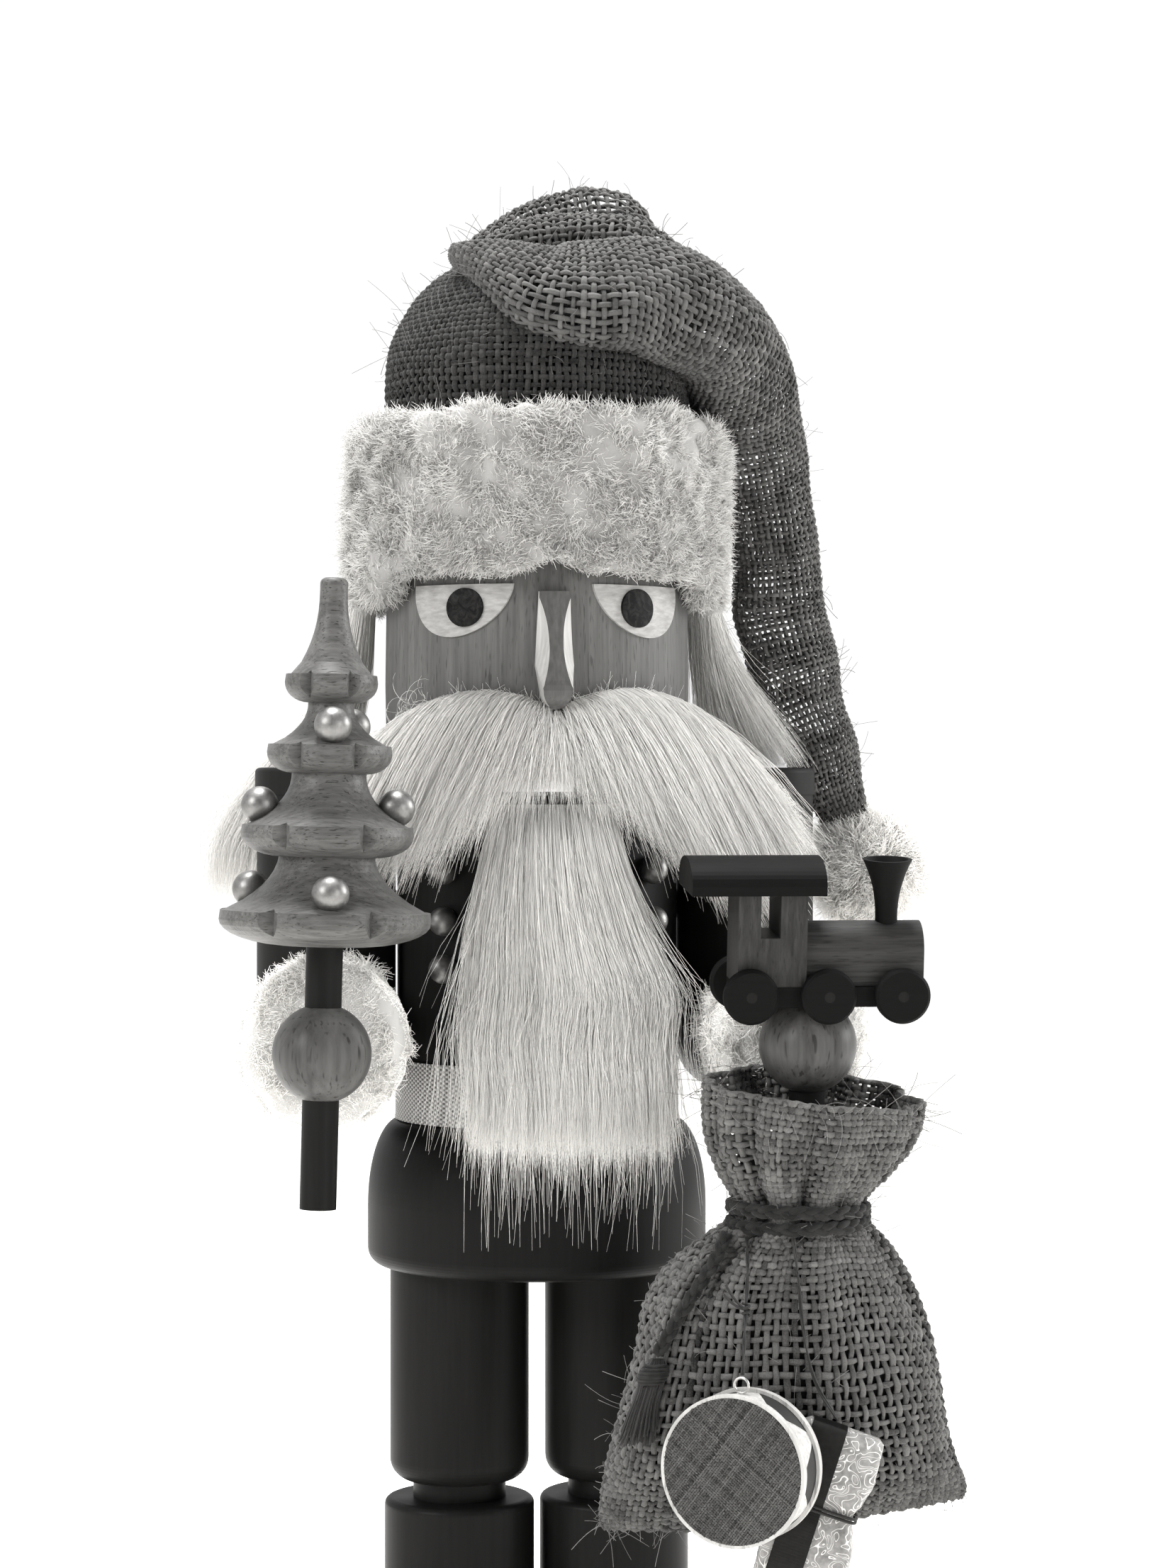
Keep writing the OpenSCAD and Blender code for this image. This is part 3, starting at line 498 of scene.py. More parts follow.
# Height, half width and half depth of the parcel's outlines.
GIFT_ROWS = [(-21, 9.8, 3.4), (-20, 11, 4.2), (-15, 11.4, 4.8), (-9, 11.6, 5), (-3.5, 10, 4.5),
             (-1.2, 8.8, 3.8), (1.2, 8.8, 3.8), (3.5, 10, 4.5), (9, 11.2, 5), (15, 10.9, 4.8),
             (20, 10.4, 4.2), (21, 9.2, 3.4)]
GIFT_SQUARENESS = 5.7


def route_frame(route, points):
    """A route in even steps, with the directions across it and towards the back at each point."""
    route = even(route, points)
    way = unit(np.gradient(route, axis=0))
    across = unit(np.cross(way, [0, 1.0, 0]))
    return route, across, np.cross(across, way)


def wound(route, strands, reach, turns, points):
    """Lines of several strands wound evenly round a route."""
    route, across, top = route_frame(route, points)
    at = np.linspace(0, turns * TURN, points)
    angles = at + np.arange(strands)[:, None] * TURN / strands
    return route + reach * (np.cos(angles)[..., None] * across + np.sin(angles)[..., None] * top)


def plaited(route, reach, turns, points):
    """Lines of the three strands of a flat plait along a route."""
    route, across, top = route_frame(route, points)
    at = np.linspace(0, turns * TURN, points) + np.arange(3)[:, None] * TURN / 3
    return route + reach * (np.sin(at)[..., None] * across + 0.5 * np.sin(2 * at)[..., None] * top)


def fuzz(lines, count, length, seed, width=0.05):
    """Short loose fibres that stand off from lines."""
    rng = np.random.default_rng(seed)
    flat = lines.reshape(-1, 3)
    root = flat[rng.integers(0, len(flat), count)]
    way = unit(rng.normal(size=(count, 3)))
    bend = rng.normal(size=(count, 3)) * 0.6
    t = np.linspace(0, 1, 5)[None, :, None]
    size = (length * rng.uniform(0.4, 1.3, count))[:, None, None]
    made = root[:, None] + size * (way[:, None] * t + bend[:, None] * t * t)
    return made, width * np.linspace(1, 0.4, 5)[None] * rng.uniform(0.7, 1.3, (count, 1))


def make_cords(wool, black_thread):
    """The braid's free end and the two threads."""
    plait = plaited(BRAID_ROUTE, STRAND_R, 3.2, 61)
    braid = yarn("sack_cord", plait, STRAND_R, wool, 10, (0.4, 1.2, 5), slot="braid_cord",
                 replaces=["sack_braid"])
    hairs, width = fuzz(plait, 260, 3.2, 12)
    hairs = strand_pieces("sack_cord_fuzz", hairs, width, wool, slot="braid_cord")
    tassel = make_tassel(wool, black_thread)
    even(BRAID_ROUTE, 61) * MM
    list(hairs)
    for name, body, route, turns, node in (("drum_string", "drum", DRUM_ROUTE, 2.5, "drum_thread"),
                                           ("gift_string", "gift", GIFT_ROUTE, 1.2, "gift_thread")):
        string = yarn(name, wound(route, 2, 0.26, turns, 49), 0.26, black_thread, 8, (0.3, 1, 3), body=body,
                      slot="thread", replaces=[node])
        pieces = [make_knot(black_thread)] if body == "drum" else []
        (round(float(np.linalg.norm(
            np.diff(even(route, 49), axis=0), axis=1).sum()), 1) * MM)
        even(route, 49) * MM


def make_tassel(wool, black_thread):
    """The braid's end: a bound knob and a skirt of loose threads under it."""
    rng = np.random.default_rng(21)
    top, tip = np.array([21.4, -90, 115.9]), np.array([16, -91, 95])
    count = 230
    angle, far = rng.uniform(0, TURN, count), np.sqrt(rng.uniform(0, 1, count))
    t = np.linspace(0, 1, 8)[None, :, None]
    spread = np.stack([np.cos(angle), 0.5 * np.sin(angle), np.zeros(count)], -1) * far[:, None]
    swell = along([[1.6], [3.4], [3.2], [4.0], [5.2]], np.linspace(0, 1, 8))[None]
    reach = rng.uniform(0.82, 1.05, count)[:, None, None]
    lines = top + (tip - top) * t * reach + spread[:, None] * swell
    lines += shake(lines, 6, 30) * 0.4 * t
    skirt = strand_pieces("sack_tassel_threads", lines, 0.27, black_thread, sides=4,
                          shade=rng.uniform(0.2, 1, (count, 1)), slot="braid_cord", replaces=["sack_tassel"])
    turns = np.linspace(0, 7 * TURN, 160)
    down = np.linspace(1.2, 7.2, 160)
    centre = top + (tip - top) * (down / np.linalg.norm(tip - top))[:, None]
    reach = 3.7 * np.sin(np.clip((down - 0.4) / 7.6, 0.08, 0.92) * math.pi) ** 0.6
    coil = centre + np.stack([np.cos(turns) * reach, 0.72 * np.sin(turns) * reach, 0.25 * np.cos(turns)], -1)
    return [*skirt, yarn("sack_tassel_knob", coil[None], 0.55, wool, 7, (0.4, 1, 8), slot="braid_cord")]


def turned(points, place, turn, lean=0.0):
    """Points of a local frame, leant about its Y axis, turned about Z and moved to a place."""
    t, k = math.radians(turn), math.radians(lean)
    spin = np.array([[math.cos(t), -math.sin(t), 0], [math.sin(t), math.cos(t), 0], [0, 0, 1]])
    tilt = np.array([[math.cos(k), 0, math.sin(k)], [0, 1, 0], [-math.sin(k), 0, math.cos(k)]])
    return points @ (spin @ tilt).T + place


def make_drum_cloth(cloth):
    """Ribbed cloth on both drum heads, as threads in two directions."""
    pitch, points = 0.62, 58
    rng = np.random.default_rng(31)
    for name, depth, out in (("drum_cloth_front", -0.02, -1), ("drum_cloth_back", DRUM_DEPTH + 0.02, 1)):
        for kind, angle, width in (("rib", 52, 0.27), ("cross", -38, 0.2)):
            off = np.arange(-DRUM_R + pitch, DRUM_R - 0.5 * pitch, pitch)
            reach = np.sqrt(DRUM_R ** 2 - off ** 2) - 0.1
            run = reach[:, None] * np.linspace(-1, 1, points)
            a = math.radians(angle)
            wave = 0.07 * (-1.0) ** (np.arange(points) + np.arange(len(off))[:, None])
            rise = out * (0.1 + (wave if kind == "rib" else -wave))
            lines = np.stack([run * math.cos(a) - off[:, None] * math.sin(a), depth + rise,
                              run * math.sin(a) + off[:, None] * math.cos(a)], -1)
            shade = 0.5 + 0.2 * rng.normal(size=(len(off), 1)) + 0.15 * rng.normal(size=run.shape)
            up = np.broadcast_to(turned(np.array([0, float(out), 0]), 0, DRUM_TURN), lines.shape)
            strand_pieces(f"{name}_{kind}", turned(lines, DRUM_PLACE, DRUM_TURN), width, cloth, 4,
                          np.clip(shade, 0, 1), up, 0.13, body="drum", slot="drum_cloth")


def rounded(angle, squareness):
    """Cosine and sine of a circle that is pressed outwards towards a square."""
    c, s = np.cos(angle), np.sin(angle)
    power = 2 / squareness
    return np.sign(c) * abs(c) ** power, np.sign(s) * abs(s) ** power


def outline(z, column):
    return np.interp(z, [row[0] for row in GIFT_ROWS], [row[column] for row in GIFT_ROWS])


def parcel_point(angle, z, extra=0.0):
    """A point of the parcel's outline at a local height, where extra is how far it stands off."""
    c, s = rounded(angle, GIFT_SQUARENESS)
    return np.stack([(outline(z, 1) + extra) * c, (outline(z, 2) + extra) * s, z + 0 * angle], -1)


def make_gift(paper, satin, black_thread):
    """A parcel in creased paper, with a wide ribbon along it and a thread round its waist."""
    rows, columns = 120, 200
    z = np.linspace(-21, 21, rows)[:, None]
    grid = parcel_point(np.arange(columns)[None] * TURN / columns, z)
    crease = abs(ripple(grid, 3.2, 44)) + 0.5 * abs(ripple(grid, 1.5, 45))
    waist = np.exp(-((z / 5) ** 2)) * abs(ripple(grid * [1.6, 1.6, 0.25], 1.6, 46))
    grid *= (1 + 0.035 * (0.7 - crease) - 0.05 * waist)[..., None] * [1, 1, 0] + [0, 0, 1]
    piece("gift_paper", turned(grid, GIFT_PLACE, GIFT_TURN, GIFT_LEAN), ended_faces(rows, columns), paper,
          "gift", "gift_paper", ["gift_parcel"])
    up = np.linspace(-20.6, 20.6, 130)
    half = outline(up, 2)
    end = np.linspace(-1, 1, 12)[1:-1] * half[0]
    loop = np.concatenate([np.stack([-half, up], -1), np.stack([end, np.full(10, 21.2)], -1),
                           np.stack([half, up], -1)[::-1], np.stack([-end, np.full(10, -21.2)], -1)])
    across = np.linspace(-8.4, 0.6, 40)
    belly = (1 - np.clip(abs(across) / 10.5, 0, 1) ** GIFT_SQUARENESS) ** (1 / GIFT_SQUARENESS)
    layers = []
    for lift in (0.85, 0.35):
        side = np.sign(loop[:, :1]) * (abs(loop[:, :1]) * belly + lift)
        ribs = 0.07 * np.sin(TURN * np.arange(len(loop)) / 2.5)[:, None] * np.sign(loop[:, :1])
        sag = 0.14 * ripple(np.stack(np.broadcast_arrays(across[None], loop[:, :1], loop[:, 1:]), -1), 4, 47)
        depth = side + ribs + sag * np.sign(side)
        layers.append(np.stack([across + 0 * side, depth, loop[:, 1:] + 0 * side], -1))
    grid = np.concatenate([layers[0], layers[1][:, ::-1]], 1)
    faces = grid_faces(len(loop), 2 * len(across), closed_rows=True)
    piece("gift_band", turned(grid, GIFT_PLACE, GIFT_TURN, GIFT_LEAN), faces, satin, "gift", "gift_ribbon",
          ["gift_ribbon"])
    turn = np.linspace(0, TURN, 90)
    ring = parcel_point(turn, 0.0, 0.9)
    lines = np.stack([ring + [0, 0, z] for z in (-0.5, 0.45)])
    yarn("gift_waist_thread", turned(lines, GIFT_PLACE, GIFT_TURN, GIFT_LEAN), 0.42, black_thread, 7,
         body="gift", slot="gift_ribbon")


def make_knot(black_thread):
    """The drum thread's knot and its two short loose ends."""
    knot = np.array(DRUM_ROUTE[2]) + [0, -0.6, 0]
    turn = np.linspace(0, 2.5 * TURN, 40)
    coil = knot + np.stack([0.9 * np.cos(turn), 0.7 * np.sin(turn), 1.6 * np.linspace(-1, 1, 40)], -1)
    t = np.linspace(0, 1, 40)[:, None]
    ends = [knot + t * [-5.5, -1.2, 3.2] + t * t * [0, 0, 3.4],
            knot + t * [-6.5, -1.4, 1.2] + t * t * [0.5, 0, 3]]
    return yarn("drum_knot", np.stack([coil, *ends]), 0.36, black_thread, 7, body="drum", slot="thread")


# Wool plush: a lumpy core and short curled fibres on it


def grid_normals(grid, closed_rows):
    """Outward directions at the points of a grid."""
    rows = np.roll(grid, -1, 0) - np.roll(grid, 1, 0) if closed_rows else np.gradient(grid, axis=0)
    columns = np.roll(grid, -1, 1) - np.roll(grid, 1, 1)
    return unit(np.cross(columns, rows))


def on_grid(rng, grid, normals, count, closed_rows, bare):
    """Random points on a grid, evenly by area, with the normals and the nearest grid points there."""
    down = np.roll(grid, -1, 0) if closed_rows else grid[1:]
    here = grid if closed_rows else grid[:-1]
    area = np.linalg.norm(np.cross(down - here, np.roll(here, -1, 1) - here), axis=-1)
    if bare is not None:
        area[bare[: len(area)] | np.roll(bare, -1)[: len(area)]] = 0
    cell = rng.choice(area.size, count, p=area.ravel() / area.sum())
    i, j = np.divmod(cell, grid.shape[1])
    s, t = rng.uniform(0, 1, (2, count, 1))
    i2, j2 = (i + 1) % len(grid), (j + 1) % grid.shape[1]
    pick = lambda g: mix(mix(g[i, j], g[i, j2], t), mix(g[i2, j], g[i2, j2], t), s)
    return pick(grid), unit(pick(normals)), cell


def plush(name, grid, count, length, closed_rows, node, seed, lumps, tone, stand=0.4, bare=None, rim=None):
    """Covers a closed grid with matted wool. lumps is the height of its lumps and tone its mean shade, a
    painted
    light level: the same wool gets a low tone where it lies in shade and a high one where it is lit. stand is
    how upright the fibres are, bare marks the rows without fibres, and rim gives the lowest height that the
    wool reaches at each point."""
    rng = np.random.default_rng(seed)
    rows, columns = grid.shape[:2]
    normals = grid_normals(grid, closed_rows)
    heap = lumps * (ripple(grid, 7, seed) + 0.45 * ripple(grid, 3, seed + 1))
    if bare is not None:
        heap[bare] = 0
    grid = grid + normals * heap[..., None]
    if rim:
        grid[..., 2] = np.maximum(grid[..., 2], rim(grid) + 1.2)
    normals = grid_normals(grid, closed_rows)
    faces = grid_faces(rows, columns, True) if closed_rows else ended_faces(rows, columns)
    # The core's shade is painted from the lumps: darker in the hollows between them as painted shade, lighter
    # on their tops.
    core = piece(name, grid, faces, WOOL_CORE, "root", "white_fur", [node],
                 shade=np.clip(tone + 0.15 * heap.ravel() / lumps, 0, 1))
    root, out, home = on_grid(rng, grid, normals, count, closed_rows, bare)
    swirl = shake(root, 6, seed + 3) + 0.6 * shake(root, 2.2, seed + 7)
    way = unit(stand * out + 0.9 * swirl + 0.35 * rng.normal(size=root.shape))
    turn = 0.8 * shake(root, 3, seed + 11) + 0.6 * rng.normal(size=root.shape) + 0.3 * stand * out
    size = length * rng.uniform(0.4, 1.2, (count, 1))
    half = root + way * size * 0.5
    tip = half + unit(way + turn) * size * 0.5
    lines = np.stack([root - 0.3 * out, half, tip], 1)
    width = np.array([[0.1, 0.09, 0.035]]) * rng.uniform(0.7, 1.3, (count, 1))
    # Each fibre's shade follows the lump under its root, darker in the hollows, as painted shade.
    shade = np.clip(tone + 0.1 * heap.ravel()[home] / lumps + 0.1 * rng.normal(size=count), 0, 1)
    if rim:
        keep = (rim(lines) - lines[..., 2]).max(1) < rng.exponential(0.5, count)
        lines, width, shade = lines[keep], width[keep], shade[keep]
    strand_pieces(name + "_wool", lines, width, WOOL, shade=shade[:, None], slot="white_fur")


def ring_grid(centre, axis, profile, columns):
    """Closed grid of a profile of (radius, height) turned round an axis."""
    axis = np.array(axis, float)
    across = unit(np.cross(axis, [1.0, 0, 0]) if abs(axis[0]) < 0.5 else np.cross(axis, [0, 1.0, 0]))
    other = np.cross(axis, across)
    turn = np.arange(columns) * TURN / columns
    spoke = np.cos(turn)[:, None] * across + np.sin(turn)[:, None] * other
    radius, height = profile[:, :1, None], profile[:, 1:, None]
    return np.array(centre) + radius * spoke[None] + height * axis


def rounded_profile(r0, r1, half, corner, count):
    """Superellipse cross section of a fur ring, between two radii."""
    c, s = rounded(np.arange(count) * TURN / count, corner)
    return np.stack([(r0 + r1) / 2 + (r1 - r0) / 2 * c, half * s], -1)


def band_rim(points):
    """The fur band's lower edge, which clears the eyes and the nose and droops over the temples."""
    aside = np.degrees(np.arctan2(abs(points[..., 0]), -points[..., 1]))
    rim = 319.4 + 4.2 * np.exp(-((aside / 9) ** 2)) + 0.5 * ripple(points, 3, 15)
    return rim - 9 * np.clip((aside - 52) / 14, 0, 1)


# The closed outline of a cuff as (radius, distance forwards from its middle), which covers the wrist's end.
CUFF = [(5.6, 9.3), (12, 9.25), (19.7, 9.2), (19.8, 2), (19.8, -9), (20.6, -10.6), (21.6, -9.5),
        (22, -4), (22, 2), (21.3, 7.4), (18.5, 10.6), (13.5, 11.7), (8.5, 11.5), (5.8, 10.7),
        (5.6, 9.3)]


def make_fur():
    """The hat's band, both cuffs and the pompom."""
    low, high = (np.array(c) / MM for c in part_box("fur_band"))
    profile = rounded_profile(43, high[0] - 1.8, (high[2] - low[2]) / 2 - 0.6, 3.2, 52)
    band = ring_grid((0, 0, (low[2] + high[2]) / 2 + 0.4), (0, 0, 1), profile, 210)
    # The wool hangs lower over the temples.
    aside = np.degrees(np.arctan2(abs(band[..., 0]), -band[..., 1]))
    share = np.clip((high[2] - 12 - band[..., 2]) / 30, 0, 1)
    band[..., 2] -= 7 * share * np.clip((aside - 54) / 14, 0, 1)
    # tone=0.3 paints the band darker than the cuffs' and the pompom's wool, as painted shade under the hat's
    # fold.
    plush("hat_fur", band, 62000, 4.4, True, "fur_band", 3, lumps=1.1, bare=profile[:, 0] < 44, rim=band_rim,
          tone=0.3)
    for side, seed in (("right", 5), ("left", 6)):
        node = side + "_cuff"
        turn = math.radians(3.6 if side == "right" else 2.4)
        axis = (-math.sin(turn) if side == "right" else math.sin(turn), -math.cos(turn), 0)
        profile = even([(*row, 0) for row in CUFF], 46)[:-1, :2][::-1]
        bare = (profile[:, 0] < 20.2) & (profile[:, 1] < 9.4)
        # tone=1 paints the same wool lighter where the cuffs stand forward, as painted light.
        plush(side + "_cuff_fur", ring_grid(middle(node), axis, profile, 96), 17000, 4.4, True, node, seed,
              lumps=1.3, bare=bare, tone=1)
    turn = np.linspace(0.03, math.pi - 0.03, 34)
    ball = ring_grid(middle("pompom"), (0, 0, 1), 15.4 * np.stack([np.sin(turn), np.cos(turn)], -1)[::-1], 64)
    # tone=0.95 paints the same wool lighter, as painted light on the pompom.
    plush("hat_pompom", ball, 15000, 5.4, False, "pompom", 9, lumps=1, stand=0.8, tone=0.95)


# Hair

HAIR_FRIZZ, HAIR_WIDTH = 0.75, 0.07


def level_rings(node):
    """Height, middle and half sizes of a CAD solid at each of its levels, lowest first."""
    points = np.array([v.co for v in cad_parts[node].data.vertices]) / MM
    rows = []
    for z in np.unique(points[:, 2].round(1)):
        level = points[abs(points[:, 2] - z) < 0.15]
        low, high = level.min(0), level.max(0)
        rows.append([z, *((low + high) / 2)[:2], *((high - low) / 2)[:2]])
    return np.array(rows)


def at_level(rings, z):
    """Middle and half sizes of a stack of level rings at given heights."""
    return (np.interp(z, rings[:, 0], rings[:, k]) for k in (1, 2, 3, 4))


def falling_hair(rings, root, tip, seed, points, locks, pull, sway, stray=0.08, flare=0.0):
    """Lines of hair that fall through a stack of level rings from root to tip heights. pull is how far
    they draw together in locks, sway and stray how far and how often they leave them, and flare how far
    their ends spread towards +X."""
    rng = np.random.default_rng(seed)
    count = len(root)
    angle, far = rng.uniform(0, TURN, count), rng.uniform(0, 1, count) ** 0.4
    spot = np.stack([far * np.cos(angle), far * np.sin(angle)], -1)
    homes = spot[rng.choice(count, locks, replace=False)]
    home = np.argmin(((spot[:, None] - homes[None]) ** 2).sum(-1), 1)
    t = np.linspace(0, 1, points)[None, :]
    z = root[:, None] + (tip - root)[:, None] * t
    end = mix(spot, homes[home], pull) + sway * rng.normal(size=(count, 2))
    off = (rng.uniform(0, 1, count) < stray)[:, None]
    end = end + off * rng.normal(size=(count, 2)) * [0.3, 0.12]
    place = mix(spot[:, None], end[:, None], (t ** 1.3)[..., None])
    x, y, a, b = at_level(rings, z)
    lines = np.stack([x + a * place[..., 0], y + b * place[..., 1], z], -1)
    lines += shake(lines * [1, 1, 0.4], 14, seed) * 0.8 * t[..., None]
    lines[..., 0] += flare * rng.uniform(0, 1, (count, 1)) * t ** 1.6
    own = rng.normal(size=(count, 1, 3)) * 8
    lines += shake(lines + own, 7, seed + 5) * HAIR_FRIZZ * t[..., None] * (1 + off[..., None])
    return lines, rng


def hair_piece(name, lines, rng, nodes=(), body="root"):
    """Strands of hair that thin towards their ends."""
    count, m = lines.shape[:2]
    thin = along([[1.0], [1.0], [0.9], [0.7], [0.35]], np.linspace(0, 1, m))[:, 0]
    shade = np.clip(0.65 + 0.22 * rng.normal(size=(count, 1)) + np.zeros(m), 0, 1)
    return strand_pieces(name, lines, HAIR_WIDTH * thin[None] * rng.uniform(0.7, 1.3, (count, 1)), HAIR,
                         shade=shade, body=body, slot="white_fur", replaces=nodes)


def stitched_edge(name, rows, body="root"):
    """The looped edge of the cloth strip that hair is sewn to."""
    line = even(rows, 260)
    turn = np.linspace(0, 44 * TURN, 260)
    line = line + 0.35 * np.stack([np.sin(turn), 0 * turn, np.cos(turn)], -1)
    # shade=0.3 paints the edge darker than the hair, as painted shade for the dark gap of the mouth.
    yarn(name, line[None], 0.14, HAIR, 5, shade=0.3, body=body, slot="white_fur")


def hair_core(name, rings, body, share, low_z, columns=48):
    """The dense inside of a hair piece, which keeps light from showing through it."""
    rows = 30
    z = np.linspace(low_z, rings[-1, 0] - 0.5, rows)[:, None]
    x, y, a, b = at_level(rings, z)
    turn = np.arange(columns) * TURN / columns
    taper = share * np.minimum(1, 0.3 + (z - low_z) / 14)
    grid = np.stack([x + a * taper * np.cos(turn), y + b * taper * np.sin(turn), z + 0 * turn], -1)
    grid += shake(grid * [1, 1, 0.2], 3, 4) * 0.4
    # Its material is darker than the hair, as painted shade among the strands.
    piece(name, grid, ended_faces(rows, columns), WOOL_CORE, body, "white_fur",
          shade=0.6 + 0.4 * ripple(grid * [1, 1, 0.1], 1.2, 2))


BEARD_ENDS, LONGEST_WISP, BEARD_CORE_LOW = 169, 140, 177


def make_beard():
    """The beard, which hangs from the jaw."""
    rings = level_rings("beard")
    # The hair ends bluntly, so below its ends the beard is as wide as above them.
    rings = rings[rings[:, 0] > BEARD_ENDS]
    top = rings[-1, 0]
    rng = np.random.default_rng(30)
    count = 8200
    root = top + 0.5 - 36 * rng.uniform(0, 1, count) ** 2.4
    tip = BEARD_ENDS + 3.5 * rng.normal(size=count)
    wisps = rng.uniform(0, 1, count) < 0.12
    tip = np.where(wisps, tip - rng.exponential(8, count), tip)
    layered = rng.uniform(0, 1, count) < 0.2
    tip = np.where(layered, mix(tip, root, rng.uniform(0.15, 0.5, count)), tip)
    lines, rng = falling_hair(rings, root, np.maximum(tip, LONGEST_WISP), 31, points=9, locks=110, pull=0.6,
                              sway=0.07, stray=0.2)
    hair_piece("beard_hair", lines, rng, ["beard"], body="beard")
    hair_core("beard_core", rings, "beard", 0.72, BEARD_CORE_LOW)
    aside, depth, half = rings[-1, 1:4]
    stitched_edge("beard_edge", [(aside + half * s, depth - 2.2 + 2.4 * s * s, top - 0.2)
                                 for s in (-0.95, -0.5, 0, 0.5, 0.95)], body="beard")


def make_side_hair():
    """The hair beside the beard and down the back."""
    for node, count, drop, seed, flare in (("right_hair", 3000, 1, 41, -5), ("left_hair", 2600, -1, 42, 13),
                                           ("back_hair", 3000, -3.5, 43, 0)):
        rings = level_rings(node)
        rng = np.random.default_rng(seed)
        root = rings[-1, 0] + 1 - 4 * rng.uniform(0, 1, count)
        tip = rings[0, 0] + drop + 6 * rng.exponential(1, count)
        lines, rng = falling_hair(rings, root, np.minimum(tip, root - 15), seed + 3, points=8, locks=70,
                                  pull=0.55, sway=0.16, flare=flare)
        hair_piece(node.replace("hair", "locks"), lines, rng, [node])
        hair_core(node + "_core", rings, "root", 0.45, rings[0, 0] + 18, columns=28)


# The moustache's upper edge over one cheek as (x, z), and where its hair ends, nearest the nose first.
LEFT_EDGE = [(-1.5, 283), (6, 286.6), (14, 288.6), (22, 288.2), (29.5, 286.2), (36, 281.5)]
RIGHT_EDGE = [(-1.5, 283), (6, 286.6), (14, 288.2), (22, 287.6), (28.5, 285.5), (35, 280)]
LEFT_ENDS = [(-1, -55, 263.5), (14, -55, 257), (30, -55, 247), (42, -53, 237), (52, -50, 230),
             (60, -48, 229), (66, -45, 235), (69, -41, 243), (70, -38, 251)]
RIGHT_ENDS = [(-2, -55, 263), (14, -55, 256), (28, -55, 249), (38, -53, 243), (46, -50, 240),
              (52, -48, 242), (56, -45, 248), (58, -41, 255), (58, -38, 262)]
# The strip's radius round the head, and the rows and columns of the wad under the hair.
STRIP = 42.8
WAD_ROWS, WAD_COLUMNS = 36, 28


def moustache_half(name, side, edge, ends, count, seed, nodes=()):
    """Hair sewn along a strip round the face, which sweeps out and down to its ragged end."""
    rng = np.random.default_rng(seed)
    edge = np.array([(x, -math.sqrt(STRIP ** 2 - x * x), z) for x, z in edge])
    mirror = np.array([side, 1, 1])
    v = rng.uniform(0, 1, count)
    layer = rng.uniform(0, 1, count) ** 0.6
    top = along(edge, v)
    out = unit(top * [1, 1, 0])
    root = top - np.array([0, 0, 13.0]) * (1 - layer[:, None]) + 0.4 * out
    locks = 110
    home = (v * locks * 0.999).astype(int)
    tip = along(ends, np.clip(v + 0.03 * rng.normal(size=count), 0, 1))
    tip += (rng.normal(size=(locks, 3)) * [1.4, 1, 1.4])[home] + rng.normal(size=(count, 3)) * [3.0, 1.2, 3.0]
    reach = 1.04 - 0.5 * rng.beta(1, 2.6, count)[:, None]
    tip = mix(root, tip, reach)
    swell = layer[:, None] * np.array([4.0]) + 1
    leave = root + out * swell * 1.5 + np.array([0.06, 0, -0.06]) * (tip - root) * 3
    arrive = mix(root, tip, 0.6) + out * swell * 1.3 + np.array([0.6, 0, 1.2]) * layer[:, None] * 2
    t = np.linspace(0, 1, 9)[None, :, None]
    p = [q[:, None] for q in (root, leave, arrive, tip)]
    lines = (1 - t) ** 3 * p[0] + 3 * t * (1 - t) ** 2 * p[1] + 3 * t * t * (1 - t) * p[2] + t ** 3 * p[3]
    lines += shake(lines + rng.normal(size=(count, 1, 3)) * 6, 7, seed) * 0.95 * t
    stray = (rng.uniform(0, 1, count) < 0.05)[:, None, None]
    lines += rng.normal(size=(count, 1, 3)) * [3.5, 2, 3.5] * stray * t * t
    hair_piece(name, lines * mirror, rng, nodes)
    frizz, width = fuzz(even(edge, 80)[None] + [0, -1, -1.5], 700, 3.6, seed + 5, width=0.055)
    strand_pieces(name + "_frizz", frizz * mirror, width, HAIR, shade=0.8, slot="white_fur")
    stitched_edge(name + "_edge", (edge[1:] + [0, -0.8, 0.3]) * mirror)

    # A flat wad under the hair, which ends before the hair does.
    v = np.linspace(0.0, 0.97, WAD_ROWS)
    top, low = along(edge, v), along(ends, v)
    out = unit(top * [1, 1, 0])
    turn = np.arange(WAD_COLUMNS) * TURN / WAD_COLUMNS
    centre = mix(top - [0, 0, 3], low, 0.3) + out * 1.9
    down = (low - top + [0, 0, 3]) * 0.3
    thick = (2.2 - 0.9 * v)[:, None, None]
    grid = centre[:, None] + down[:, None] * np.cos(turn)[:, None]
    grid = grid + out[:, None] * thick * np.sin(turn)[:, None]
    grid = grid * mirror
    if side > 0:
        grid = grid[::-1]
    # The wad's material is darker than the hair, as painted shade under it.
    piece(name + "_core", grid, ended_faces(WAD_ROWS, WAD_COLUMNS), WOOL_CORE, "root", "white_fur",
          shade=0.6 + 0.4 * ripple(grid, 1.5, 3))


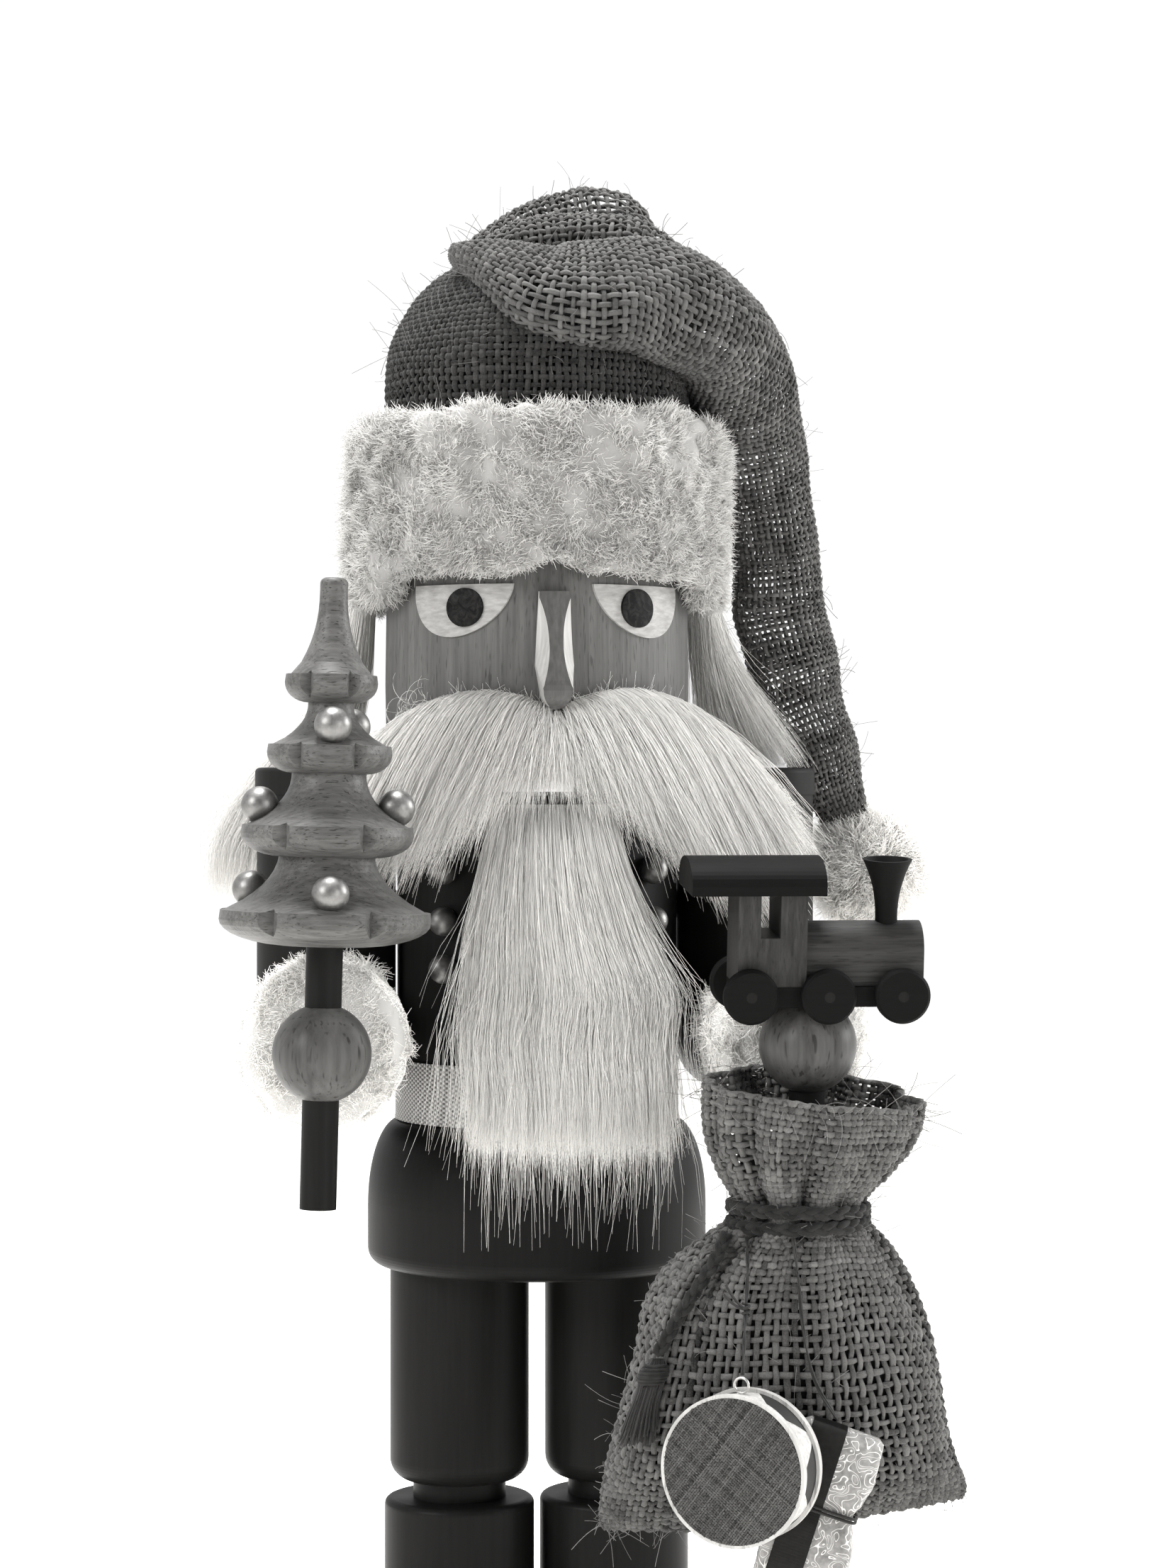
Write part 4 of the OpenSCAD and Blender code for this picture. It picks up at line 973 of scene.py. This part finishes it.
def make_moustache():
    """Both halves of the moustache, and the curls beside its right end."""
    moustache_half("left_moustache", 1, LEFT_EDGE, LEFT_ENDS, 5600, 51, ["moustache"])
    moustache_half("right_moustache", -1, RIGHT_EDGE, RIGHT_ENDS, 5200, 52)
    rng = np.random.default_rng(53)
    count = 150
    root = np.array([-36, -26, 279]) + rng.normal(size=(count, 3)) * [2, 2, 3.5]
    t = np.linspace(0, 1, 12)[None, :, None]
    phase, size = rng.uniform(0, TURN, (count, 1, 1)), rng.uniform(2, 6, (count, 1, 1))
    curl = np.concatenate([np.sin(phase + 5 * t), 0.4 * np.cos(phase + 4 * t), np.cos(phase + 5 * t)], -1)
    lines = root[:, None] + size * (curl * 0.6 + t * rng.normal(size=(count, 1, 3)) * [0.8, 0.4, 0.8])
    hair_piece("moustache_curls", lines, rng)


# Burlap: every thread of a plain weave is a flattened tube

SMALL_STEP = 2e-3
POINTS_PER_CROSSING = 3
STRAY_WIDTH = 0.07


def surface_normals(surface, u, v):
    """Outward directions of a surface of (u, v)."""
    du = surface(u + SMALL_STEP, v) - surface(u - SMALL_STEP, v)
    dv = surface(u, v + SMALL_STEP) - surface(u, v - SMALL_STEP)
    return unit(np.cross(dv, du))


def weave(name, surface, lengths, rounds, material, seed, half_width, rise=0.5, replaces=(), tone=0.5):
    """Threads along and around a surface of (u, v), passing over and under each other in turn."""
    rng = np.random.default_rng(seed)
    for kind, threads, crossings in (("warp", rounds, lengths), ("weft", lengths + 1, rounds)):
        run = np.linspace(0, 1, crossings * POINTS_PER_CROSSING + 1)[None] + np.zeros((threads, 1))
        number = np.arange(threads)[:, None]
        lane = number / rounds if kind == "warp" else number / lengths
        drift = ripple(np.stack([run * 40, lane * 40 + 0 * run, 0 * run + 7 * seed], -1), 1.5, seed) * 0.16
        if kind == "warp":
            u, v = run, lane + drift / rounds
        else:
            u, v = np.clip(lane + drift / lengths, 0, 1), run
        lines = surface(u, v)
        normals = surface_normals(surface, u, v)
        sign = 1 if kind == "warp" else -1
        lines = lines + normals * (sign * rise * np.cos(math.pi * (run * crossings + number)))[..., None]
        slub = 1 + 0.2 * ripple(lines, 3, seed + 2) + 0.1 * rng.normal(size=(threads, 1))
        thread = half_width(lines) if callable(half_width) else half_width
        shade = tone * (1 + 0.3 * ripple(lines, 2, seed + 3) + 0.22 * rng.normal(size=(threads, 1)))
        strand_pieces(f"{name}_{kind}", lines, thread * slub, material, sides=5, shade=np.clip(shade, 0, 1),
                      up=normals, thickness=thread * 0.72 * slub, slot="burlap",
                      replaces=replaces if kind == "warp" else ())


def strays(name, surface, count, length, material, seed, reach=(0, 1)):
    """Loose fibres that curl off burlap, where reach is the range of u that they start in."""
    rng = np.random.default_rng(seed)
    u, v = rng.uniform(*reach, count), rng.uniform(0, 1, count)
    root, out = surface(u, v), surface_normals(surface, u, v)
    way = unit(rng.normal(size=(count, 3)) + 0.5 * out)
    bend = unit(rng.normal(size=(count, 3))) * rng.uniform(0.2, 1.1, (count, 1))
    size = (length * rng.uniform(0.3, 1.5, count) ** 1.5)[:, None, None]
    t = np.linspace(0, 1, 7)[None, :, None]
    lines = root[:, None] + out[:, None] * 0.5 + size * (way[:, None] * t + bend[:, None] * t * t)
    strand_pieces(name, lines, STRAY_WIDTH * rng.uniform(0.6, 1.3, (count, 1)), material,
                  shade=rng.uniform(0.5, 1, (count, 1)), slot="burlap")


def tube_surface(rows):
    """A surface round a path whose rows are place, half height, half depth and up direction."""
    rows = even(rows, 160)
    way = unit(np.gradient(rows[:, :3], axis=0))
    up = rows[:, 5:8]
    table = np.hstack([rows[:, :5], unit(up - way * (up * way).sum(-1, keepdims=True)), way])

    def surface(u, v):
        at = along(table, np.asarray(u, float))
        up, forward = unit(at[..., 5:8]), unit(at[..., 8:11])
        side = np.cross(forward, up)
        # Turned a little further where the outline is flat, so that the threads stay evenly apart.
        flatness = (at[..., 4] ** 2 - at[..., 3] ** 2) / (at[..., 4] ** 2 + at[..., 3] ** 2)
        angle = TURN * v - flatness / 4 * np.sin(2 * TURN * v)
        c, s = np.cos(angle), np.sin(angle)
        flat = at[..., :3] + up * (at[..., 3] * c)[..., None] + side * (at[..., 4] * s)[..., None]
        return flat + shake(flat, 14, 77) * 0.7

    return surface


# Radius and height of the crown.
CROWN_ROWS = [(42.0, 343), (42.4, 357), (42.1, 371), (40.6, 383), (37.4, 392), (31.6, 401),
              (22.7, 408.5), (11, 413)]
CROWN_LOW = [0, 0, 343]


def crown_surface(u, v):
    """The hat's crown, from under the fur band up over the head."""
    at = along(CROWN_ROWS, u)
    angle = TURN * np.asarray(v, float)
    points = np.stack([at[..., 0] * np.cos(angle), at[..., 0] * np.sin(angle), at[..., 1]], -1)
    slack = np.clip((points[..., 2] - 352) / 25, 0, 1)[..., None]
    return points + shake(points, 22, 60) * 1.1 * slack


def hat_thread(lines):
    """The hat's threads lie close on the head and stand open in the tail and the peak."""
    x, z = lines[..., 0], lines[..., 2]
    open_part = np.clip((x - 52) / 12, 0, 1) * np.clip((400 - z) / 20, 0, 1)
    open_part = np.maximum(open_part, np.clip((z - 408) / 12, 0, 1) * 0.8)
    return 0.74 - 0.19 * open_part


# The rest of the hat as lengths of tube, whose rows are place, half height, half depth and up direction.
TILT, UPRIGHT, OUT = (0, 0.72, 0.69), (0, 0.35, 0.94), (1, 0.1, 0.1)
FOLD = [(-24, -15, 411, 1.5, 3, *TILT), (-17, -21.5, 407.5, 5.5, 7, *TILT),
        (-8, -27.5, 402.5, 11.5, 9, *TILT), (0, -30.5, 399, 16.8, 10, *TILT),
        (10, -31, 398, 18.5, 10.8, *TILT), (20, -29.5, 398, 18.5, 11.5, *TILT),
        (34, -25, 396.5, 17, 13, *UPRIGHT), (47, -16, 390.5, 16, 14, *UPRIGHT),
        (56.5, -5, 379.5, 15.5, 13.5, 0.5, 0, 0.8), (62, 5, 367, 14.6, 12, *OUT),
        (65.6, 11, 355, 13.4, 11.2, *OUT), (69.2, 15, 342, 12, 11, *OUT),
        (71.5, 18.5, 328, 12.2, 11.8, *OUT), (73.5, 20.3, 313, 12.8, 12.2, *OUT),
        (77.7, 21, 296, 12.4, 11.8, *OUT), (84, 22.5, 278, 10.8, 10.4, *OUT),
        (91.5, 24, 259, 7.6, 7.4, *OUT), (94, 24.3, 252, 5, 5, *OUT)]
PEAK = [(-22, 3, 405, 3, 4, *UPRIGHT), (-13, 5, 409, 11, 6, *UPRIGHT), (-2, 7, 412, 15.5, 7, *UPRIGHT),
        (10, 8, 415, 17.5, 7.5, *UPRIGHT), (18, 7, 417, 18.5, 7, *UPRIGHT),
        (24, 6, 418.5, 16, 6.5, *UPRIGHT), (29, 5, 419, 11, 5, *UPRIGHT),
        (33, 4.5, 419, 4.5, 2.5, *UPRIGHT)]
CREST = [(-20, -9, 407, 3, 4, *UPRIGHT), (-10, -10, 411, 7.5, 8, *UPRIGHT),
         (2, -11, 413, 9, 9, *UPRIGHT), (15, -12, 413.5, 8.5, 9.5, *UPRIGHT),
         (27, -12, 411.5, 8, 9.5, *UPRIGHT), (38, -12, 404, 8, 8, *UPRIGHT),
         (47, -10, 395, 6, 6, *UPRIGHT)]
BURLAP_PITCH = 2.05


def make_hat(jute, inner_fill):
    """The crown, the fold over the brow that runs down into the tail, and the folds on top."""
    # tone=0.15 paints the crown's threads darker than the folds' threads of the same jute, as painted shade
    # under the overhanging fold.
    weave("hat_crown", crown_surface, 40, 130, jute, 70, hat_thread, replaces=["hat"], tone=0.15)
    for name, rows, rounds, seed in (("hat_fold", FOLD, 42, 71), ("hat_peak", PEAK, 38, 72),
                                     ("hat_crest", CREST, 26, 73)):
        path = even(rows, 200)
        length = np.linalg.norm(np.diff(path[:, :3], axis=0), axis=1).sum()
        surface = tube_surface(rows)
        weave(name, surface, int(length / BURLAP_PITCH), rounds, jute, seed, hat_thread)
        strays(name + "_strays", surface, int(length * 3), 4.5, jute, seed + 20)
    strays("hat_crown_strays", crown_surface, 500, 4.5, jute, 95)
    # A near-black sheet inside the crown, as painted shade behind the weave's holes.
    rows, columns = 24, 64
    u, v = np.linspace(0.02, 0.97, rows)[:, None], np.arange(columns)[None] / columns
    grid = (crown_surface(u + 0 * v, v + 0 * u) - CROWN_LOW) * [0.955, 0.955, 0.96] + CROWN_LOW
    shade_sheet = piece("hat_shade_sheet", grid, ended_faces(rows, columns), inner_fill, slot="burlap")


# Where the sack's cloth folds inwards: angle in degrees, width and depth of each fold.
SACK_FOLDS = [(-135, 13, 1.0), (-96, 12, 1.0), (-163, 14, 0.6), (-62, 16, 0.45), (-22, 15, 0.7),
              (18, 14, 0.8), (58, 15, 0.8), (98, 15, 0.9), (140, 14, 0.8), (176, 12, 0.6)]
# Its middle, half width, half depth and the depth of its folds at each height, as x, y, z, a, b and fold.
SACK_ROWS = [(57, -76, 70, 47.5, 1.6, 0), (57, -76, 74, 48.2, 5.5, 0), (57, -76, 79.5, 47.8, 11, 0),
             (56.8, -76, 86, 46.6, 16, 0), (56.3, -76, 95, 44, 20.5, 0.01),
             (56.4, -76, 105, 41.8, 22, 0.02), (56.6, -76, 117, 39.2, 21.5, 0.05),
             (56.2, -76, 128, 36.5, 20.5, 0.1), (56.8, -76, 136, 32.5, 19.5, 0.16),
             (58.4, -75.5, 142, 27, 18, 0.24), (60.4, -75, 147.2, 20, 16.8, 0.32),
             (61, -75, 152, 16.2, 16.2, 0.36), (61.3, -76, 157, 18.6, 16.4, 0.33),
             (61.6, -78.5, 163, 23, 17, 0.3), (62.3, -80.5, 171, 27, 18, 0.26),
             (63.3, -81.5, 178, 28.6, 18.5, 0.22), (63.8, -82, 184.5, 28.8, 18.8, 0.18)]


TIE_R = 17.9


def sack_surface(u, v):
    """The sack's cloth from hem to mouth, where v goes round it."""
    at = along(SACK_ROWS, np.asarray(u, float))
    x, y, z, a, b, fold = (at[..., k] for k in range(6))
    angle = TURN * np.asarray(v, float)
    inward = np.zeros(np.broadcast(fold, angle).shape)
    for centre, width, depth in SACK_FOLDS:
        off = (np.degrees(angle) - centre + 180) % 360 - 180
        inward = np.maximum(inward, depth * np.exp(-((off / width) ** 2) * 2.5))
    c, s = np.cos(angle), np.sin(angle)
    keep = 1 - fold * inward
    low = np.clip((84 - z) / 14, 0, 1)
    high = np.clip((z - 158) / 26, 0, 1)
    # The hem rises at the figure's left, and the mouth is highest at the back and lowest at the left.
    lift = 3 * (c + c * c) * low + (3 * s - 2.7 * c - 1.6 * c * c) * high
    points = np.stack([x + a * keep * c, y + b * keep * s, z + lift], -1)
    slack = 0.9 * np.clip((z - 72) / 10, 0, 1) * (1 - 0.8 * (fold > 0.28))
    return points + shake(points, 18, 61) * slack[..., None]


def make_sack(jute, wool, inner_fill):
    """The sack's cloth, its stuffing and the two rounds of its tie."""
    weave("sack", sack_surface, 58, 96, jute, 80, 0.84, rise=0.6, replaces=["sack"], tone=0.38)
    strays("sack_strays", sack_surface, 900, 4.2, jute, 81)
    strays("sack_mouth_frays", sack_surface, 160, 8, jute, 82, reach=(0.96, 1.0))
    strays("sack_hem_frays", sack_surface, 220, 5, jute, 83, reach=(0.0, 0.03))
    rows, columns = 40, 96
    u, v = np.linspace(0.03, 0.72, rows)[:, None], np.arange(columns)[None] / columns
    grid = sack_surface(u + 0 * v, v + 0 * u)
    grid -= surface_normals(sack_surface, u + 0 * v, v + 0 * u) * 1.1
    stuffing = piece("sack_stuffing", grid, [faces[:, ::-1] for faces in ended_faces(rows, columns)], inner_fill,
                     slot="burlap")
    turn = np.linspace(0, TURN, 121)
    centre = middle("sack_tie")
    for k, (z, tilt) in enumerate(((149.2, 0.6), (152.8, -0.5))):
        loop = np.stack([centre[0] + TIE_R * np.cos(turn), centre[1] + TIE_R * np.sin(turn),
                         z + tilt * np.sin(turn + 1)], -1)
        way = unit(np.gradient(loop, axis=0))
        top = np.array([0, 0, 1.0])
        side = np.cross(way, top)
        at = turn * 9 + np.arange(3)[:, None] * TURN / 3
        lines = loop + 0.95 * (np.sin(at)[..., None] * top + 0.5 * np.sin(2 * at)[..., None] * side)
        yarn(f"sack_tie_{k + 1}", lines, 0.98, wool, 8, (0.4, 1.2, 6), up=np.broadcast_to(top, lines.shape),
             slot="braid_cord", replaces=["sack_tie"] if k == 0 else ())
        hairs, width = fuzz(lines, 420, 3.4, 90 + k)
        strand_pieces(f"sack_tie_fuzz_{k + 1}", hairs, width, wool, slot="braid_cord")


# Belt ribbon

BELT_RIBS, BELT_ROW_PITCH, BELT_BACK_R = 230, 0.62, 39.36


def make_belt(ribbon):
    """A ribbed ribbon stretched round the torso."""
    low, high = (np.array(c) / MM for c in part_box("belt"))
    columns, rows = 900, 56
    turn = np.arange(columns) / columns
    height = np.linspace(low[2], high[2], rows)
    warp, weft = turn[None] * BELT_RIBS, (height - low[2])[:, None] / BELT_ROW_PITCH
    over = np.cos(math.pi * warp) * np.cos(math.pi * weft)
    rise = 0.2 * over + 0.09 * np.sin(TURN * (warp / 2 + weft / 2))
    edge = np.minimum(height - low[2], high[2] - height)[:, None]
    rise += 0.15 * (edge < 0.7) * np.cos(TURN * turn[None] * BELT_RIBS)
    radius = high[0] - 0.35 + rise
    angle = turn[None] * TURN
    outer = np.stack([radius * np.cos(angle), radius * np.sin(angle), height[:, None] + 0 * radius], -1)
    inner = np.stack([BELT_BACK_R * np.cos(angle) + 0 * radius, BELT_BACK_R * np.sin(angle) + 0 * radius,
                      height[:, None] + 0 * radius], -1)[[-1, 0]]
    # The shade is painted from the relief: raised threads lighter as painted highlight, sunken ones darker as
    # painted shade, and the two inner rows darkest.
    shade = np.clip(0.42 + 2.2 * np.concatenate([rise, 0 * rise[:2]]), 0, 1)
    faces = grid_faces(rows + 2, columns, closed_rows=True)
    belt = piece("belt_ribbon", np.concatenate([outer, inner]), faces, ribbon, slot="belt_ribbon",
                 replaces=["belt"], shade=shade)


# The build

make_camera()
WOOL = fibre("plush_wool", 0.4, 0.97, rough=0.8, sheen=0.2)
# The cores under wool and hair are darker than the fibres, as painted shade deep among the fibres.
WOOL_CORE = fibre("fibre_core_painted_shade", 0.2, 0.55, rough=0.95, sheen=0.1, fine=0.2)
HAIR = fibre("white_hair", 0.46, 0.94, rough=0.5, sheen=0.2)
dark_wool = fibre("dark_wool", 0.004, 0.028, rough=0.9, sheen=0.1, fine=0.5)
black_thread = fibre("black_thread", 0.006, 0.03, rough=0.55, sheen=0.1)
jute_hat = fibre("hat_jute", 0.006, 0.16, rough=0.9, sheen=0.1, fine=0.6)
jute_sack = fibre("sack_jute", 0.008, 0.22, rough=0.9, sheen=0.1, fine=0.8)
ribbon = fibre("belt_weave", 0.01, 0.6, rough=0.5, sheen=0.1, fine=0.3)
# Near-black fill behind the burlap: inside the hat it is painted shade behind the weave's holes, and inside
# the sack it is the stuffing.
inner_fill = paint("dark_inner_fill", 0.008, rough=0.9)
make_cords(dark_wool, black_thread)
make_light()
make_floor()
make_fur()
make_beard()
make_side_hair()
make_moustache()
make_hat(jute_hat, inner_fill)
make_sack(jute_sack, dark_wool, inner_fill)
make_belt(ribbon)
make_drum_cloth(fibre("drum_cloth", 0.012, 0.1, rough=0.8, sheen=0.05))
make_gift(gift_paper(), paint("gift_satin", 0.012, rough=0.6, grain=(900, 900, 900)), black_thread)


def dress():
    """Gives every CAD node that shows its own material."""
    dark = paint("leg_stain", 0.007, rough=0.45)
    coat = paint("coat_stain", 0.008, rough=0.5)
    skirt = paint("skirt_stain", 0.005, rough=0.45)
    base = paint("base_stain", 0.01, grain=(30, 700, 700))
    black = paint("train_black", 0.003, rough=0.65, grain=(60, 900, 900))
    face = wood("face_wood", 0.06, 0.125, rough=0.5, pores=0.6, rings=0.6)
    lever = wood("lever_wood", 0.04, 0.09, rough=0.5)
    ball = wood("hand_wood", 0.025, 0.11, grain=(420, 420, 22), rough=0.42, rings=0.45, pores=0.7)
    tree = wood("tree_wood", 0.035, 0.13, grain=(70, 1000, 1000), rough=0.42, rings=0.6, pores=0.8)
    cab = wood("cab_wood", 0.009, 0.04, rough=0.5, rings=0.7)
    boiler = wood("boiler_wood", 0.009, 0.045, grain=(40, 900, 900), rough=0.5, rings=0.7)
    dowel = wood("dowel_wood", 0.3, 0.42)
    bead = metal("bead_metal", 0.2, 0.4)
    steel = metal("steel", 0.5, 0.3)
    looks = {
        dark: ["right_boot", "left_boot", "right_leg", "left_leg", "tree_stick", "train_stick",
               "train_axles"],
        coat: ["torso", "shoulder_caps", "right_arm", "left_arm", "right_forearm", "left_forearm"],
        skirt: ["skirt"],
        base: ["base_board"],
        black: ["train_chassis", "train_wheels", "train_roof", "train_chimney", "drum_heads"],
        face: ["head"],
        nose_wood(): ["nose"],
        lever: ["jaw_lever"],
        ball: ["right_hand", "left_hand"],
        tree: ["tree"],
        cab: ["train_cab"],
        boiler: ["train_boiler"],
        dowel: ["leg_dowels", "body_dowel", "head_dowels", "shoulder_dowels"],
        bead: ["tree_beads", "coat_buttons"],
        steel: ["lever_pin", "drum_eye"],
        painted_white(): ["eye_whites"],
        painted_black(): ["pupils"],
        drum_card(): ["drum_shell"],
        wood("hoop_card", 0.3, 0.5): ["drum_hoops"],
    }
    for material, nodes in looks.items():
        for node in nodes:
            for material_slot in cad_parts[node].material_slots:
                material_slot.material = material


dress()
